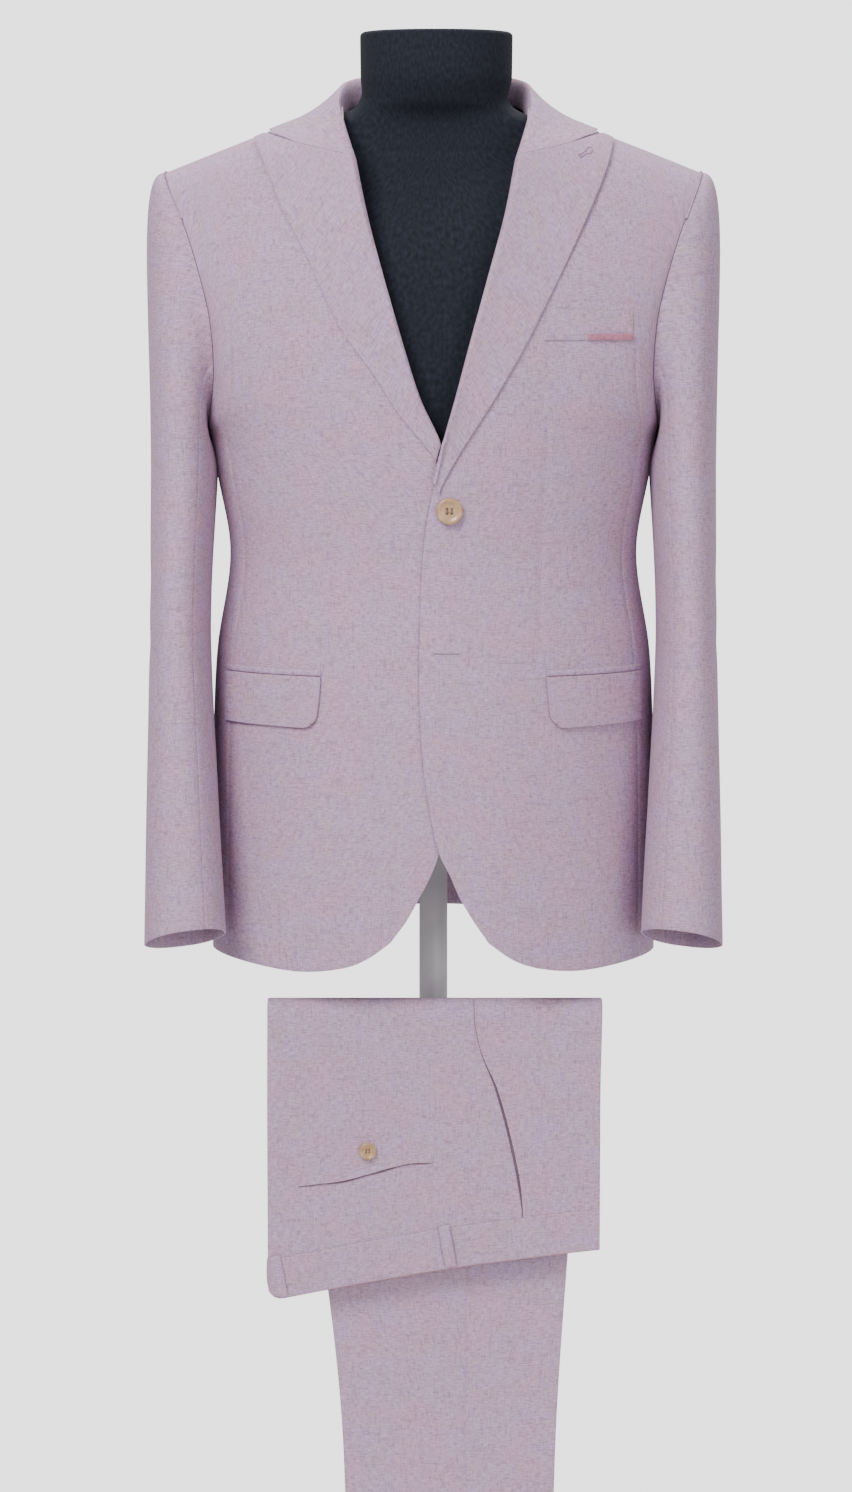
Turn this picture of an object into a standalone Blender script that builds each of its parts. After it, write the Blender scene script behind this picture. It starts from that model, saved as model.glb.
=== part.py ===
"""A two-piece suit on a display stand: a peak-lapel jacket worn by a limbless dress form,
and trousers folded over a rail below it. Metres, +Z up, the wearer faces -Y, origin under the base."""
import math

import bpy
import numpy as np
from mathutils import Vector

# Cloth walls and the gaps between pieces
CLOTH = 0.0020
LIGHT_CLOTH = 0.0012
SLEEVE_CLOTH = 0.0013
LAPEL_CLOTH = 0.0016
SEAM = 0.0005
SLEEVE_SEAM = 0.0011
SHOULDER_SEAM = 0.0013
CENTRE_SEAM = 0.0007
ARMHOLE_SEAM = 0.0005
LAY = 0.0004
LAYER_GAP = 0.0003
RAIL_GAP = 0.0006

# Jacket levels and lengths
ARMHOLE_Z = 1.325
TIP_X = 0.2340
TIP_Z = 1.5515
SHOULDER_SLOPE = 0.420
NECK_ROUNDING = 0.070
SHOULDER_Y = 0.004
SIDE_HEM_Z = 0.866
BACK_HEM_Z = 0.884
SECTION_POWER = 2.05
YOKE_POWER = 2.4
ARMHOLE_FRONT = 0.078
ARMHOLE_BACK = 0.074
NECK_HALF = 0.088
NECK_BACK_Y = 0.0775
OVERLAP_LIFT = 0.0031

# height, half width, front depth, back depth of the jacket's body
BODY_TABLE = (
    (0.860, 0.1965, 0.1290, 0.1220),
    (0.950, 0.1960, 0.1290, 0.1180),
    (1.040, 0.1950, 0.1270, 0.1120),
    (1.130, 0.1910, 0.1230, 0.1020),
    (1.216, 0.1790, 0.1180, 0.0920),
    (1.285, 0.1900, 0.1230, 0.1010),
    (1.325, 0.1975, 0.1240, 0.1050),
)

# height, inner edge of the left front, inner edge of the right front (the left one laps over)
FRONT_EDGE = (
    (0.887, 0.0477, -0.0374),
    (0.907, 0.0340, -0.0228),
    (0.928, 0.0219, -0.0116),
    (0.946, 0.0142, -0.0022),
    (0.9655, 0.0047, 0.0047),
    (1.001, -0.0030, 0.0125),
    (1.044, -0.0090, 0.0185),
    (1.100, -0.0120, 0.0210),
    (1.160, -0.0116, 0.0210),
    (1.229, -0.0082, 0.0185),
    (1.272, -0.0013, 0.0116),
    (1.3136, 0.0082, 0.0056),
    (1.354, 0.0195, -0.0125),
    (1.401, 0.0320, -0.0275),
    (1.4615, 0.0486, -0.0450),
    (1.509, 0.0615, -0.0575),
    (1.552, 0.0701, -0.0665),
    (1.586, 0.0761, -0.0725),
    (1.640, 0.0795, -0.0765),
)

# share of the armhole's height, distance of the armhole seam from the centre plane
ARMHOLE_TABLE = (
    (0.00, 0.1975),
    (0.10, 0.1925),
    (0.22, 0.1895),
    (0.39, 0.1918),
    (0.49, 0.1963),
    (0.667, 0.2072),
    (0.824, 0.2190),
    (0.940, 0.2290),
    (1.000, TIP_X),
)

# distance from the front's corner out along the hem, height of the hem there
HEM_TABLE = (
    (0.000, 0.887),
    (0.018, 0.8735),
    (0.036, 0.8650),
    (0.060, 0.8600),
    (0.082, 0.8585),
    (0.110, 0.8605),
    (0.160, SIDE_HEM_Z),
)

# share of the roll line, outer edge x, outer edge z of each lapel, from the break to the peak
LAPEL_LEFT = (
    (0.00, 0.0030, 1.2740),
    (0.12, 0.0205, 1.3060),
    (0.28, 0.0489, 1.3504),
    (0.45, 0.0767, 1.3980),
    (0.62, 0.1094, 1.4630),
    (0.78, 0.1300, 1.5070),
    (0.90, 0.1475, 1.5480),
    (1.00, 0.1545, 1.5740),
)
LAPEL_RIGHT = (
    (0.00, 0.0048, 1.3000),
    (0.12, -0.0262, 1.3368),
    (0.28, -0.0500, 1.3730),
    (0.45, -0.0800, 1.4160),
    (0.62, -0.1077, 1.4752),
    (0.78, -0.1270, 1.5114),
    (0.90, -0.1430, 1.5500),
    (1.00, -0.1545, 1.5740),
)
LAPEL_LEFT_BREAK_Z = 1.282
LAPEL_RIGHT_BREAK_Z = 1.3136
ROLL_TOP_Z = 1.562
NOTCH = (0.1190, 1.5715)
PEAK_TOP = (0.1470, 1.5765)
ROLL_LIFT = 0.0060
LAPEL_LIFT = 0.0024
YOKE_LIFT = 0.0034

# height, centre x, half width, centre y, half depth of the sleeve
SLEEVE_TABLE = (
    (0.886, 0.2155, 0.0355, -0.096, 0.0490),
    (1.010, 0.2187, 0.0310, -0.068, 0.0600),
    (1.150, 0.2214, 0.0264, -0.034, 0.0720),
    (1.290, 0.2209, 0.0268, -0.006, 0.0800),
)
CUFF_TILT_FRONT = 0.014
CUFF_TILT_SIDE = 0.006
FRONT_SEAM_DEG = 58
BACK_SEAM_DEG = 275

COLLAR_LIFT = 0.0064
NECK_SHIFT = 0.0017
# Collar: fold line, leaf edge and stand foot, from the centre back round to the gorge
# share of the way round, fold x, y, z
COLLAR_FOLD = (
    (0.00, 0.0000, 0.0790, 1.6340),
    (0.25, 0.0440, 0.0680, 1.6345),
    (0.50, 0.0755, 0.0330, 1.6290),
    (0.70, 0.0815, -0.0080, 1.6150),
    (0.85, 0.0805, -0.0400, 1.6000),
    (1.00, 0.0712, -0.0798, 1.5688),
)
# share of the way round, leaf edge x, angle over the shoulder in degrees (90 is the ridge)
COLLAR_LEAF = (
    (0.00, 0.0000, 117.0),
    (0.25, 0.0560, 115.0),
    (0.50, 0.1060, 109.0),
    (0.70, 0.1360, 98.0),
    (0.85, 0.1420, 86.0),
    (1.00, 0.1190, 69.0),
)

# Trousers over the rail: places across the fold are x, places along the cloth are s
RAIL_Y = -0.075
RAIL_RADIUS = 0.0070
RAIL_Z = 0.8171
STACK = 0.0062
HEM_S = 0.765
# distance behind the fold, left edge, right edge of the legs
LEG_TABLE = (
    (0.000, -0.1430, 0.1450),
    (0.110, -0.1200, 0.1300),
    (0.252, -0.0950, 0.1175),
    (0.418, -0.0795, 0.1080),
    (HEM_S, -0.0750, 0.1030),
)
WAIST_LEFT = (-0.1440, 0.2706)
WAIST_RIGHT = (0.1435, 0.2240)
BAND_HEIGHT = 0.0365
BAND_PROUD = 0.0006
BAND_THICKNESS = 0.0016
LOOP_LIFT = 0.0019
LOOP_THICKNESS = 0.0014
POCKET_WELT_HEIGHT = 0.0085
POCKET_WELT_LIFT = 0.0012
POCKET_WELT_THICKNESS = 0.0009
# x and distance in front of the fold along the back pocket's slit
POCKET_SLIT = ((-0.116, -0.1580), (-0.083, -0.1530), (-0.055, -0.1480), (-0.028, -0.1415), (-0.002, -0.1385))
# distance in front of the fold, x of the pocket mouth and the side seam above it
POCKET_LINE = (
    (-0.300, 0.0860),
    (-0.180, 0.0770),
    (-0.130, 0.0680),
    (-0.080, 0.0545),
    (-0.050, 0.0420),
    (-0.025, 0.0365),
    (0.000, 0.0350),
    (0.250, 0.0250),
    (HEM_S, 0.0160),
)

# Stand
BASE_RADIUS = 0.190
POLE_RADIUS = 0.0125
ARM_Z = 0.655
ARM_LEFT_X = -0.1270
ARM_RIGHT_X = 0.1325
FORM_FOOT_Z = 1.020
NECK_TOP_Z = 1.6680

# height, half width, front depth, back depth of the dress form
FORM_TABLE = (
    (FORM_FOOT_Z, 0.150, 0.088, 0.080),
    (1.120, 0.158, 0.096, 0.084),
    (1.216, 0.156, 0.098, 0.078),
    (1.325, 0.176, 0.108, 0.090),
    (1.420, 0.182, 0.106, 0.094),
    (1.490, 0.190, 0.092, 0.080),
    (1.536, 0.194, 0.060, 0.055),
    (1.5575, 0.187, 0.040, 0.034),
    (1.5732, 0.160, 0.036, 0.032),
    (1.5876, 0.120, 0.036, 0.036),
    (1.5970, 0.082, 0.040, 0.044),
    (1.6080, 0.0655, 0.050, 0.050),
    (1.630, 0.0660, 0.060, 0.053),
    (NECK_TOP_Z, 0.0665, 0.061, 0.055),
)

COLOURS = {
    "suiting": ((0.545, 0.480, 0.520, 1), 0.85, 0.0),
    "contrast": ((0.42, 0.20, 0.24, 1), 0.8, 0.0),
    "horn": ((0.62, 0.50, 0.36, 1), 0.4, 0.0),
    "form": ((0.016, 0.018, 0.030, 1), 0.7, 0.0),
    "stand": ((0.75, 0.75, 0.76, 1), 0.4, 0.1),
}


def material(slot):
    """One Principled material for each finish."""
    if slot in bpy.data.materials:
        return bpy.data.materials[slot]
    colour, roughness, metallic = COLOURS[slot]
    made = bpy.data.materials.new(slot)
    made.use_nodes = True
    shader = made.node_tree.nodes["Principled BSDF"]
    shader.inputs["Base Color"].default_value = colour
    shader.inputs["Roughness"].default_value = roughness
    shader.inputs["Metallic"].default_value = metallic
    return made


def smooth(table, at, column=1):
    """A value read from a table's column by a smooth curve through its rows."""
    keys = [row[0] for row in table]
    values = [row[column] for row in table]
    at = min(max(at, keys[0]), keys[-1])
    i = min(max(int(np.searchsorted(keys, at)) - 1, 0), len(keys) - 2)
    span = keys[i + 1] - keys[i]
    t = (at - keys[i]) / span

    def slope(j):
        low, high = max(j - 1, 0), min(j + 1, len(keys) - 1)
        return (values[high] - values[low]) / (keys[high] - keys[low]) * span

    a, b = values[i], values[i + 1]
    return ((2 * t**3 - 3 * t**2 + 1) * a + (t**3 - 2 * t**2 + t) * slope(i)
            + (3 * t**2 - 2 * t**3) * b + (t**3 - t**2) * slope(i + 1))


def ease(t):
    """0 to 1 with soft ends."""
    t = min(max(t, 0.0), 1.0)
    return t * t * (3 - 2 * t)


def add_object(name, mesh, slot):
    made = bpy.data.objects.new(name, mesh)
    made.data.materials.append(material(slot))
    PARTS.objects.link(made)
    return made


def loft(name, rows, slot, closed=False, caps=False):
    """A mesh skinned over rows of points; closed joins each row's ends and caps fills the end rows."""
    count = len(rows[0])
    points = [tuple(p) for row in rows for p in row]
    faces = []
    for i in range(len(rows) - 1):
        for j in range(count if closed else count - 1):
            k = (j + 1) % count
            faces.append((i * count + j, i * count + k, (i + 1) * count + k, (i + 1) * count + j))
    if caps:
        faces.append(tuple(range(count - 1, -1, -1)))
        faces.append(tuple((len(rows) - 1) * count + j for j in range(count)))
    mesh = bpy.data.meshes.new(name)
    mesh.from_pydata(points, [], faces)
    mesh.shade_smooth()
    return add_object(name, mesh, slot)


def cloth(name, rows, slot="suiting", thickness=CLOTH, flip=False):
    """A cloth wall: an open lofted surface, made solid towards its inner side."""
    if flip:
        rows = [row[::-1] for row in rows]
    made = loft(name, rows, slot)
    wall = made.modifiers.new("wall", "SOLIDIFY")
    wall.thickness = thickness
    wall.offset = -1
    wall.use_even_offset = False
    return made


def shoulder_z(x):
    return TIP_Z + SHOULDER_SLOPE * (TIP_X - math.hypot(x, NECK_ROUNDING))


def shoulder_y(x, back):
    """The shoulder seam's y; on the back it dips round the neck."""
    if not back or abs(x) > NECK_HALF:
        return SHOULDER_Y
    return SHOULDER_Y + (NECK_BACK_Y - SHOULDER_Y) * math.sqrt(1 - (x / NECK_HALF) ** 2)


def armhole_y(share, back):
    """The armhole ring's y at a share of its height."""
    reach = ARMHOLE_BACK if back else -ARMHOLE_FRONT
    return SHOULDER_Y * share + reach * math.sqrt(max(0.0, 1 - (2 * share - 1) ** 2))


def armhole_x(share):
    return smooth(ARMHOLE_TABLE, share)


def lower_point(angle, z, back=False):
    """Body surface below the armhole: angle 0 is the centre and 90 the side; negative is the wearer's right."""
    a = smooth(BODY_TABLE, z, 1)
    depth = smooth(BODY_TABLE, z, 3 if back else 2)
    reach = abs(math.sin(math.radians(angle))) ** (2 / SECTION_POWER)
    fall = abs(math.cos(math.radians(angle))) ** (2 / SECTION_POWER)
    return Vector((math.copysign(a * reach, angle), (depth if back else -depth) * fall, z))


def upper_point(x, share, back=False):
    """Body surface above the armhole's foot: share 0 is that foot and 1 the shoulder seam."""
    share = min(max(share, 0.0), 1.0)
    bow = (1 - share**YOKE_POWER) ** (1 / YOKE_POWER)
    depth = BODY_TABLE[-1][3 if back else 2]
    ridge = shoulder_y(x, back)
    middle = ridge + ((depth if back else -depth) - ridge) * bow
    s = min(abs(x) / armhole_x(share), 1.0)
    power = 1 / SECTION_POWER + (0.85 - 1 / SECTION_POWER) * share
    edge = armhole_y(share, back)
    y = edge + (middle - edge) * max(0.0, 1 - s**SECTION_POWER) ** power
    return Vector((x, y, ARMHOLE_Z + (shoulder_z(x) - ARMHOLE_Z) * share))


def front_at(x, z):
    """The jacket front's outer surface at a place seen from the front."""
    if z <= ARMHOLE_Z:
        a, depth = smooth(BODY_TABLE, z, 1), smooth(BODY_TABLE, z, 2)
        share = min(abs(x) / a, 0.9999)
        return Vector((x, -depth * (1 - share**SECTION_POWER) ** (1 / SECTION_POWER), z))
    share = (z - ARMHOLE_Z) / (shoulder_z(x) - ARMHOLE_Z)
    return upper_point(x, min(share, 0.985))


def lifted(x, z, lift):
    """A point on the front, moved out along the surface's normal."""
    step = 0.001
    across = front_at(x + step, z) - front_at(x - step, z)
    up = front_at(x, z) - front_at(x, z - step)
    return front_at(x, z) + across.cross(up).normalized() * lift


def edge_x(z, left):
    return smooth(FRONT_EDGE, z, 1 if left else 2)


def lap_lift(x):
    """How far the left front stands out where it laps over the right one."""
    return OVERLAP_LIFT * (1 - ease((x - 0.045) / 0.070))


def front_panel(left):
    """A jacket front, from the cut-away corner to the shoulder and from the front edge to the side seam."""
    sign = 1 if left else -1
    columns = 11
    lower_rows = (0, 0.06, 0.12, 0.19, 0.28, 0.39, 0.50, 0.61, 0.72, 0.82, 0.91, 1.0)
    upper_rows = (0.06, 0.18, 0.34, 0.50, 0.66, 0.80, 0.90, 0.96, 0.99, 1.0)
    corner_z = FRONT_EDGE[0][0]
    retreat = 0.0045
    rows = []
    for v in lower_rows:
        z_in = corner_z + (ARMHOLE_Z - corner_z) * v
        row = []
        x_in = edge_x(z_in, left)
        if z_in > 1.29:
            x_in += sign * retreat * ease((z_in - 1.29) / 0.02)
        start = x_in / smooth(BODY_TABLE, z_in, 1)
        start = math.degrees(math.asin(math.copysign(abs(start) ** (SECTION_POWER / 2), start)))
        for j in range(columns + 1):
            angle = start + (sign * 90 - start) * (j / columns) ** 0.9
            level = hem_at_column(left, j / columns)
            z = level + (ARMHOLE_Z - level) * v
            row.append(lower_point(angle, z))
        rows.append(row)
    for share in upper_rows:
        x = edge_x(ARMHOLE_Z, left)
        for _ in range(6):
            z = ARMHOLE_Z + (shoulder_z(x) - ARMHOLE_Z) * share
            x = edge_x(z, left) + sign * retreat
        start = math.copysign(abs(x / armhole_x(share)) ** (SECTION_POWER / 2), x)
        start = math.degrees(math.asin(start))
        row = []
        for j in range(columns + 1):
            angle = start + (sign * 90 - start) * (j / columns) ** 0.9
            reach = abs(math.sin(math.radians(angle))) ** (2 / SECTION_POWER)
            row.append(upper_point(math.copysign(armhole_x(share) * reach, angle), share))
        rows.append(row)
    for row in rows:
        for p in row:
            if left:
                p.y -= lap_lift(p.x)
        trim_seam(row)
    for p in rows[-1]:
        p.y -= SHOULDER_SEAM
    cloth("jacket_front_left" if left else "jacket_front_right", rows, flip=not left)


def hem_at_column(left, share):
    """The hem's height at a share of the way from the corner round to the side seam."""
    x_in = abs(FRONT_EDGE[0][1 if left else 2])
    side = BODY_TABLE[0][1]
    start = math.degrees(math.asin((x_in / side) ** (SECTION_POWER / 2)))
    angle = start + (90 - start) * share**0.9
    along = side * math.sin(math.radians(angle)) ** (2 / SECTION_POWER) - x_in
    return smooth(HEM_TABLE, max(along, 0.0))


def trim_seam(row):
    """Draws the last point of a row back from the seam by half the seam gap."""
    last, before = row[-1], row[-2]
    row[-1] = last + (before - last).normalized() * SEAM


def back_panel(left):
    """Half the jacket's back, from the centre-back seam to the side seam and armhole."""
    sign = 1 if left else -1
    columns = 9
    lower_rows = (0, 0.1, 0.2, 0.32, 0.44, 0.56, 0.67, 0.77, 0.86, 0.94, 1.0)
    upper_rows = (0.06, 0.18, 0.34, 0.50, 0.66, 0.80, 0.90, 0.96, 1.0)
    rows = []
    for v in lower_rows:
        row = []
        for j in range(columns + 1):
            share = (j / columns) ** 0.9
            level = BACK_HEM_Z + (SIDE_HEM_Z - BACK_HEM_Z) * ease(share)
            row.append(lower_point(sign * max(share * 90, 0.0001), level + (ARMHOLE_Z - level) * v, True))
        rows.append(row)
    for share in upper_rows:
        row = []
        for j in range(columns + 1):
            angle = math.radians(90 * (j / columns) ** 0.9)
            reach = math.sin(angle) ** (2 / SECTION_POWER)
            row.append(upper_point(sign * armhole_x(share) * reach, share, True))
        rows.append(row)
    for row in rows:
        row[0].x = sign * CENTRE_SEAM
        trim_seam(row)
    for p in rows[-1]:
        p.y += SHOULDER_SEAM
    cloth("jacket_back_left" if left else "jacket_back_right", rows, flip=left)


def lapel(left):
    """A lapel: the cloth that rolls over at the break line and lies on the front out to its peak."""
    sign = 1 if left else -1
    table = LAPEL_LEFT if left else LAPEL_RIGHT
    low_z = LAPEL_LEFT_BREAK_Z if left else LAPEL_RIGHT_BREAK_Z
    notch = (sign * NOTCH[0], NOTCH[1])
    peak = (sign * PEAK_TOP[0], PEAK_TOP[1])
    count = 13
    across = (0.12, 0.28, 0.46, 0.64, 0.82, 1.0)
    rows = []
    for i in range(count + 1):
        r = i / count
        z_roll = low_z + (ROLL_TOP_Z - low_z) * r
        x_roll = edge_x(z_roll, left)
        x_out, z_out = smooth(table, r, 1), smooth(table, r, 2)
        width = max(sign * (x_out - x_roll), 0.004)
        x_out = x_roll + sign * width
        lap = lap_lift(x_roll) if left else 0.0
        lift = ROLL_LIFT * (0.55 + 0.45 * ease(r / 0.2))
        opened = ease((z_roll - LAPEL_RIGHT_BREAK_Z + 0.002) / 0.030) if left else 1.0
        tuck = min(0.0012 + 0.0080 * ease(2 * opened - 1), width * 0.6)
        rise = lift - (CLOTH + 0.0032 + lift) * ease(2 * opened)
        out = -sign * 0.0014
        row = [lifted(x_roll + sign * tuck, z_roll, rise) + Vector((0, -lap, 0)),
               lifted(x_roll + sign * tuck * 0.3, z_roll, rise * 0.92) + Vector((0, -lap, 0)),
               lifted(x_roll, z_roll, rise * 0.35) + Vector((out, -lap, 0)),
               lifted(x_roll, z_roll, lift * 0.60) + Vector((out, -lap, 0))]
        for q in across:
            x = x_roll + (x_out - x_roll) * q
            z = z_roll + (z_out - z_roll) * q
            if r > 0.80:
                top_x, top_z = top_edge(q, x_roll, z_roll, notch, peak, (x_out, z_out))
                weight = ease((r - 0.80) / 0.20)
                x += (top_x - x) * weight
                z += (top_z - z) * weight
            over = LAPEL_LIFT + (lift - LAPEL_LIFT) * math.exp(-q / 0.20)
            over += YOKE_LIFT * ease((z - 1.465) / 0.055)
            row.append(lifted(x, z, over + (lap_lift(x) if left else 0.0)))
        rows.append(row)
    cloth("lapel_left" if left else "lapel_right", rows, thickness=LAPEL_CLOTH, flip=not left)


def top_edge(q, x_roll, z_roll, notch, peak, tip):
    """The lapel's top edge: along the gorge to the notch, up to the peak, and round its point."""
    stops = ((0.0, x_roll, z_roll), (0.60, *notch), (0.90, *peak), (1.0, *tip))
    for a, b in zip(stops, stops[1:]):
        if q <= b[0]:
            t = (q - a[0]) / (b[0] - a[0])
            return a[1] + (b[1] - a[1]) * t, a[2] + (b[2] - a[2]) * t
    return tip


def over_shoulder(x, degrees, lift):
    """A point over the shoulder by its angle: 90 is the ridge, more is behind it."""
    back = degrees > 90
    share = abs(math.sin(math.radians(degrees))) ** (2 / YOKE_POWER)
    here = upper_point(x, share, back)
    out = Vector((0, -math.cos(math.radians(degrees)), math.sin(math.radians(degrees))))
    return here + out * lift


def jacket_top(x, y):
    """The height of the jacket's outer surface under a place near the shoulder seam."""
    back = y > shoulder_y(x, True)
    low, high = 0.3, 1.0
    for _ in range(24):
        share = (low + high) / 2
        if (upper_point(x, share, back).y < y) != back:
            low = share
        else:
            high = share
    return upper_point(x, low, back).z


def collar():
    """The collar: a stand inside the neck, a fold, and a leaf that falls on the shoulders and back."""
    rows = []
    steps = 26
    for i in range(steps + 1):
        at = -1 + 2 * i / steps
        share, sign = abs(at), (-1 if at < 0 else 1)
        fold = Vector([smooth(COLLAR_FOLD, share, c) for c in (1, 2, 3)])
        fold.x *= sign
        leaf_x = smooth(COLLAR_LEAF, share, 1) * sign
        edge = over_shoulder(leaf_x, smooth(COLLAR_LEAF, share, 2), 0.0050)
        outward = Vector((fold.x, fold.y + 0.01, 0)).normalized()
        drop = 0.024 - 0.017 * ease((share - 0.3) / 0.5)
        foot = fold - outward * 0.0085 - Vector((0, 0, drop))
        row = [foot, fold - outward * 0.0075 - Vector((0, 0, drop * 0.45)),
               fold - outward * 0.0045 - Vector((0, 0, 0.0035)), fold,
               fold + outward * 0.0028 + Vector((0, 0, -0.0008))]
        for point in row:
            point.x += NECK_SHIFT
        start = row[-1]
        for t in (0.10, 0.28, 0.52, 0.76, 1.0):
            point = start.lerp(edge, t)
            point += outward * 0.004 * math.sin(math.pi * t) * (1 - ease(share / 0.4))
            point.z = max(point.z, jacket_top(point.x, point.y) + COLLAR_LIFT)
            row.append(point)
        rows.append(row)
    cloth("collar", rows, flip=True)


def armhole_ring(degrees, side):
    """A point on the armhole: 0 is its foot, 90 its front, 180 the shoulder tip, 270 its back."""
    share = (1 - math.cos(math.radians(degrees))) / 2
    back = degrees > 180
    return Vector((side * armhole_x(share), armhole_y(share, back),
                   ARMHOLE_Z + (shoulder_z(TIP_X) - ARMHOLE_Z) * share))


def sleeve_ring(degrees, z, side, tilt=0.0):
    """A point on the hanging sleeve at a height: 0 is next to the body, 90 the front, 180 outside."""
    c, s = math.cos(math.radians(degrees)), math.sin(math.radians(degrees))
    x = smooth(SLEEVE_TABLE, z, 1) - smooth(SLEEVE_TABLE, z, 2) * math.copysign(abs(c) ** 0.9, c)
    y = smooth(SLEEVE_TABLE, z, 3) - smooth(SLEEVE_TABLE, z, 4) * math.copysign(abs(s) ** 0.95, s)
    return Vector((side * x, y, z + tilt * (CUFF_TILT_FRONT * s + CUFF_TILT_SIDE * c)))


def sleeve_piece(name, side, start, stop, columns):
    """One cut piece of a sleeve between two seams, from the armhole down to the cuff."""
    join_z = SLEEVE_TABLE[-1][0]
    cap_steps = (0.0, 0.06, 0.16, 0.32, 0.52, 0.76, 1.0)
    arm_steps = 9
    rows = []
    angles = [start + (stop - start) * j / columns for j in range(columns + 1)]
    for t in cap_steps:
        row = []
        for degrees in angles:
            ring = armhole_ring(degrees % 360, side)
            foot = sleeve_ring(degrees, join_z, side)
            rise = (1 - math.cos(math.radians(degrees))) / 2
            out = Vector((side * (0.55 + 0.45 * rise), 0.25 * (foot.y - ring.y), 0.10 * rise)).normalized()
            ring = ring + out * ARMHOLE_SEAM
            length = (ring.z - foot.z)
            first = ring + out * (0.006 + 0.016 * rise)
            last = foot + Vector((0, 0, length * 0.60))
            b = ((1 - t) ** 3, 3 * t * (1 - t) ** 2, 3 * t * t * (1 - t), t**3)
            row.append(ring * b[0] + first * b[1] + last * b[2] + foot * b[3])
        rows.append(row)
    for i in range(1, arm_steps + 1):
        t = i / arm_steps
        z = join_z + (SLEEVE_TABLE[0][0] - join_z) * t
        rows.append([sleeve_ring(degrees, z, side, tilt=t**2) for degrees in angles])
    for row in rows:
        row[0] = row[0] + (row[1] - row[0]).normalized() * SLEEVE_SEAM
        row[-1] = row[-1] + (row[-2] - row[-1]).normalized() * SLEEVE_SEAM
    cloth(name, rows, flip=side > 0, thickness=SLEEVE_CLOTH)


def sleeves():
    for side, word in ((1, "left"), (-1, "right")):
        sleeve_piece(f"sleeve_top_{word}", side, FRONT_SEAM_DEG, BACK_SEAM_DEG, 11)
        sleeve_piece(f"sleeve_under_{word}", side, BACK_SEAM_DEG - 360, FRONT_SEAM_DEG, 7)


def patch(name, corners, slot, thickness, lift, size=(6, 2), round_corner=0.0):
    """A small piece that follows the front: bilinear between four corners given as x, z."""
    (x0, z0), (x1, z1), (x2, z2), (x3, z3) = corners
    rows = []
    for i in range(size[1] + 1):
        v = i / size[1]
        row = []
        for j in range(size[0] + 1):
            u = j / size[0]
            x = (x0 * (1 - u) + x1 * u) * (1 - v) + (x3 * (1 - u) + x2 * u) * v
            z = (z0 * (1 - u) + z1 * u) * (1 - v) + (z3 * (1 - u) + z2 * u) * v
            if round_corner and u > 0.5 and v < 0.5:
                pull = round_corner * ease((u - 0.62) / 0.38) * ease((0.5 - v) / 0.5)
                z += pull
            row.append(lifted(x, z, lift + (lap_lift(x) if x > 0 else 0.0)))
        rows.append(row)
    return cloth(name, rows, slot, thickness, flip=corners[1][0] < corners[0][0])


# x, z of the hip pockets: outer end, inner end, jet top, jet foot, flap foot
FLAP_OUT = 0.1800
FLAP_IN = 0.0965
JET_TOP = 1.1215
JET_FOOT = 1.1160
FLAP_FOOT = 1.0710
WELT = ((0.0930, 1.4030), (0.1700, 1.4030), (0.1700, 1.4275), (0.0960, 1.4300))
TAB = ((0.1310, 1.4035), (0.1702, 1.4035), (0.1702, 1.4085), (0.1310, 1.4085))
FLAP_TUCK = 0.0006
FLAP_SLANT = 0.0015
FLAP_THICKNESS = 0.0018
JET_THICKNESS = 0.0012
WELT_THICKNESS = 0.0014
TAB_THICKNESS = 0.0006


def pockets():
    for sign, word in ((1, "left"), (-1, "right")):
        top_in = (sign * FLAP_IN, JET_FOOT - FLAP_TUCK)
        top_out = (sign * FLAP_OUT, JET_FOOT - FLAP_TUCK)
        foot_in = (sign * (FLAP_IN + FLAP_SLANT), FLAP_FOOT)
        foot_out = (sign * FLAP_OUT, FLAP_FOOT + FLAP_SLANT)
        patch(f"pocket_flap_{word}", (foot_out, foot_in, top_in, top_out), "suiting",
              FLAP_THICKNESS, FLAP_THICKNESS + 2 * LAY, (8, 4), 0.010)
        jet = ((sign * FLAP_OUT, JET_FOOT), (sign * FLAP_IN, JET_FOOT),
               (sign * FLAP_IN, JET_TOP), (sign * FLAP_OUT, JET_TOP))
        patch(f"pocket_jet_{word}", jet, "suiting", JET_THICKNESS, JET_THICKNESS + LAY, (7, 1))
    patch("breast_welt", WELT, "suiting", WELT_THICKNESS, WELT_THICKNESS + LAY, (5, 2))
    patch("breast_tab", TAB, "contrast", TAB_THICKNESS, TAB_THICKNESS + WELT_THICKNESS + 2 * LAY, (3, 1))


def button(name, centre, axis, radius, thickness):
    """A turned button: rim, dished face and flat back, screwed round its axis."""
    profile = ((0.0, thickness * 0.72), (radius * 0.62, thickness * 0.72), (radius * 0.76, thickness),
               (radius * 0.92, thickness), (radius, thickness * 0.6), (radius * 0.94, 0.0), (0.0, 0.0))
    mesh = bpy.data.meshes.new(name)
    points = [(x, 0, z) for x, z in profile]
    mesh.from_pydata(points, [(i, i + 1) for i in range(len(points) - 1)], [])
    made = add_object(name, mesh, "horn")
    turn = made.modifiers.new("turn", "SCREW")
    turn.steps = turn.render_steps = 20
    turn.use_merge_vertices = True
    turn.merge_threshold = 0.00005
    made.location = centre
    made.rotation_euler = Vector(axis).to_track_quat("Z", "Y").to_euler()
    return made


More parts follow.
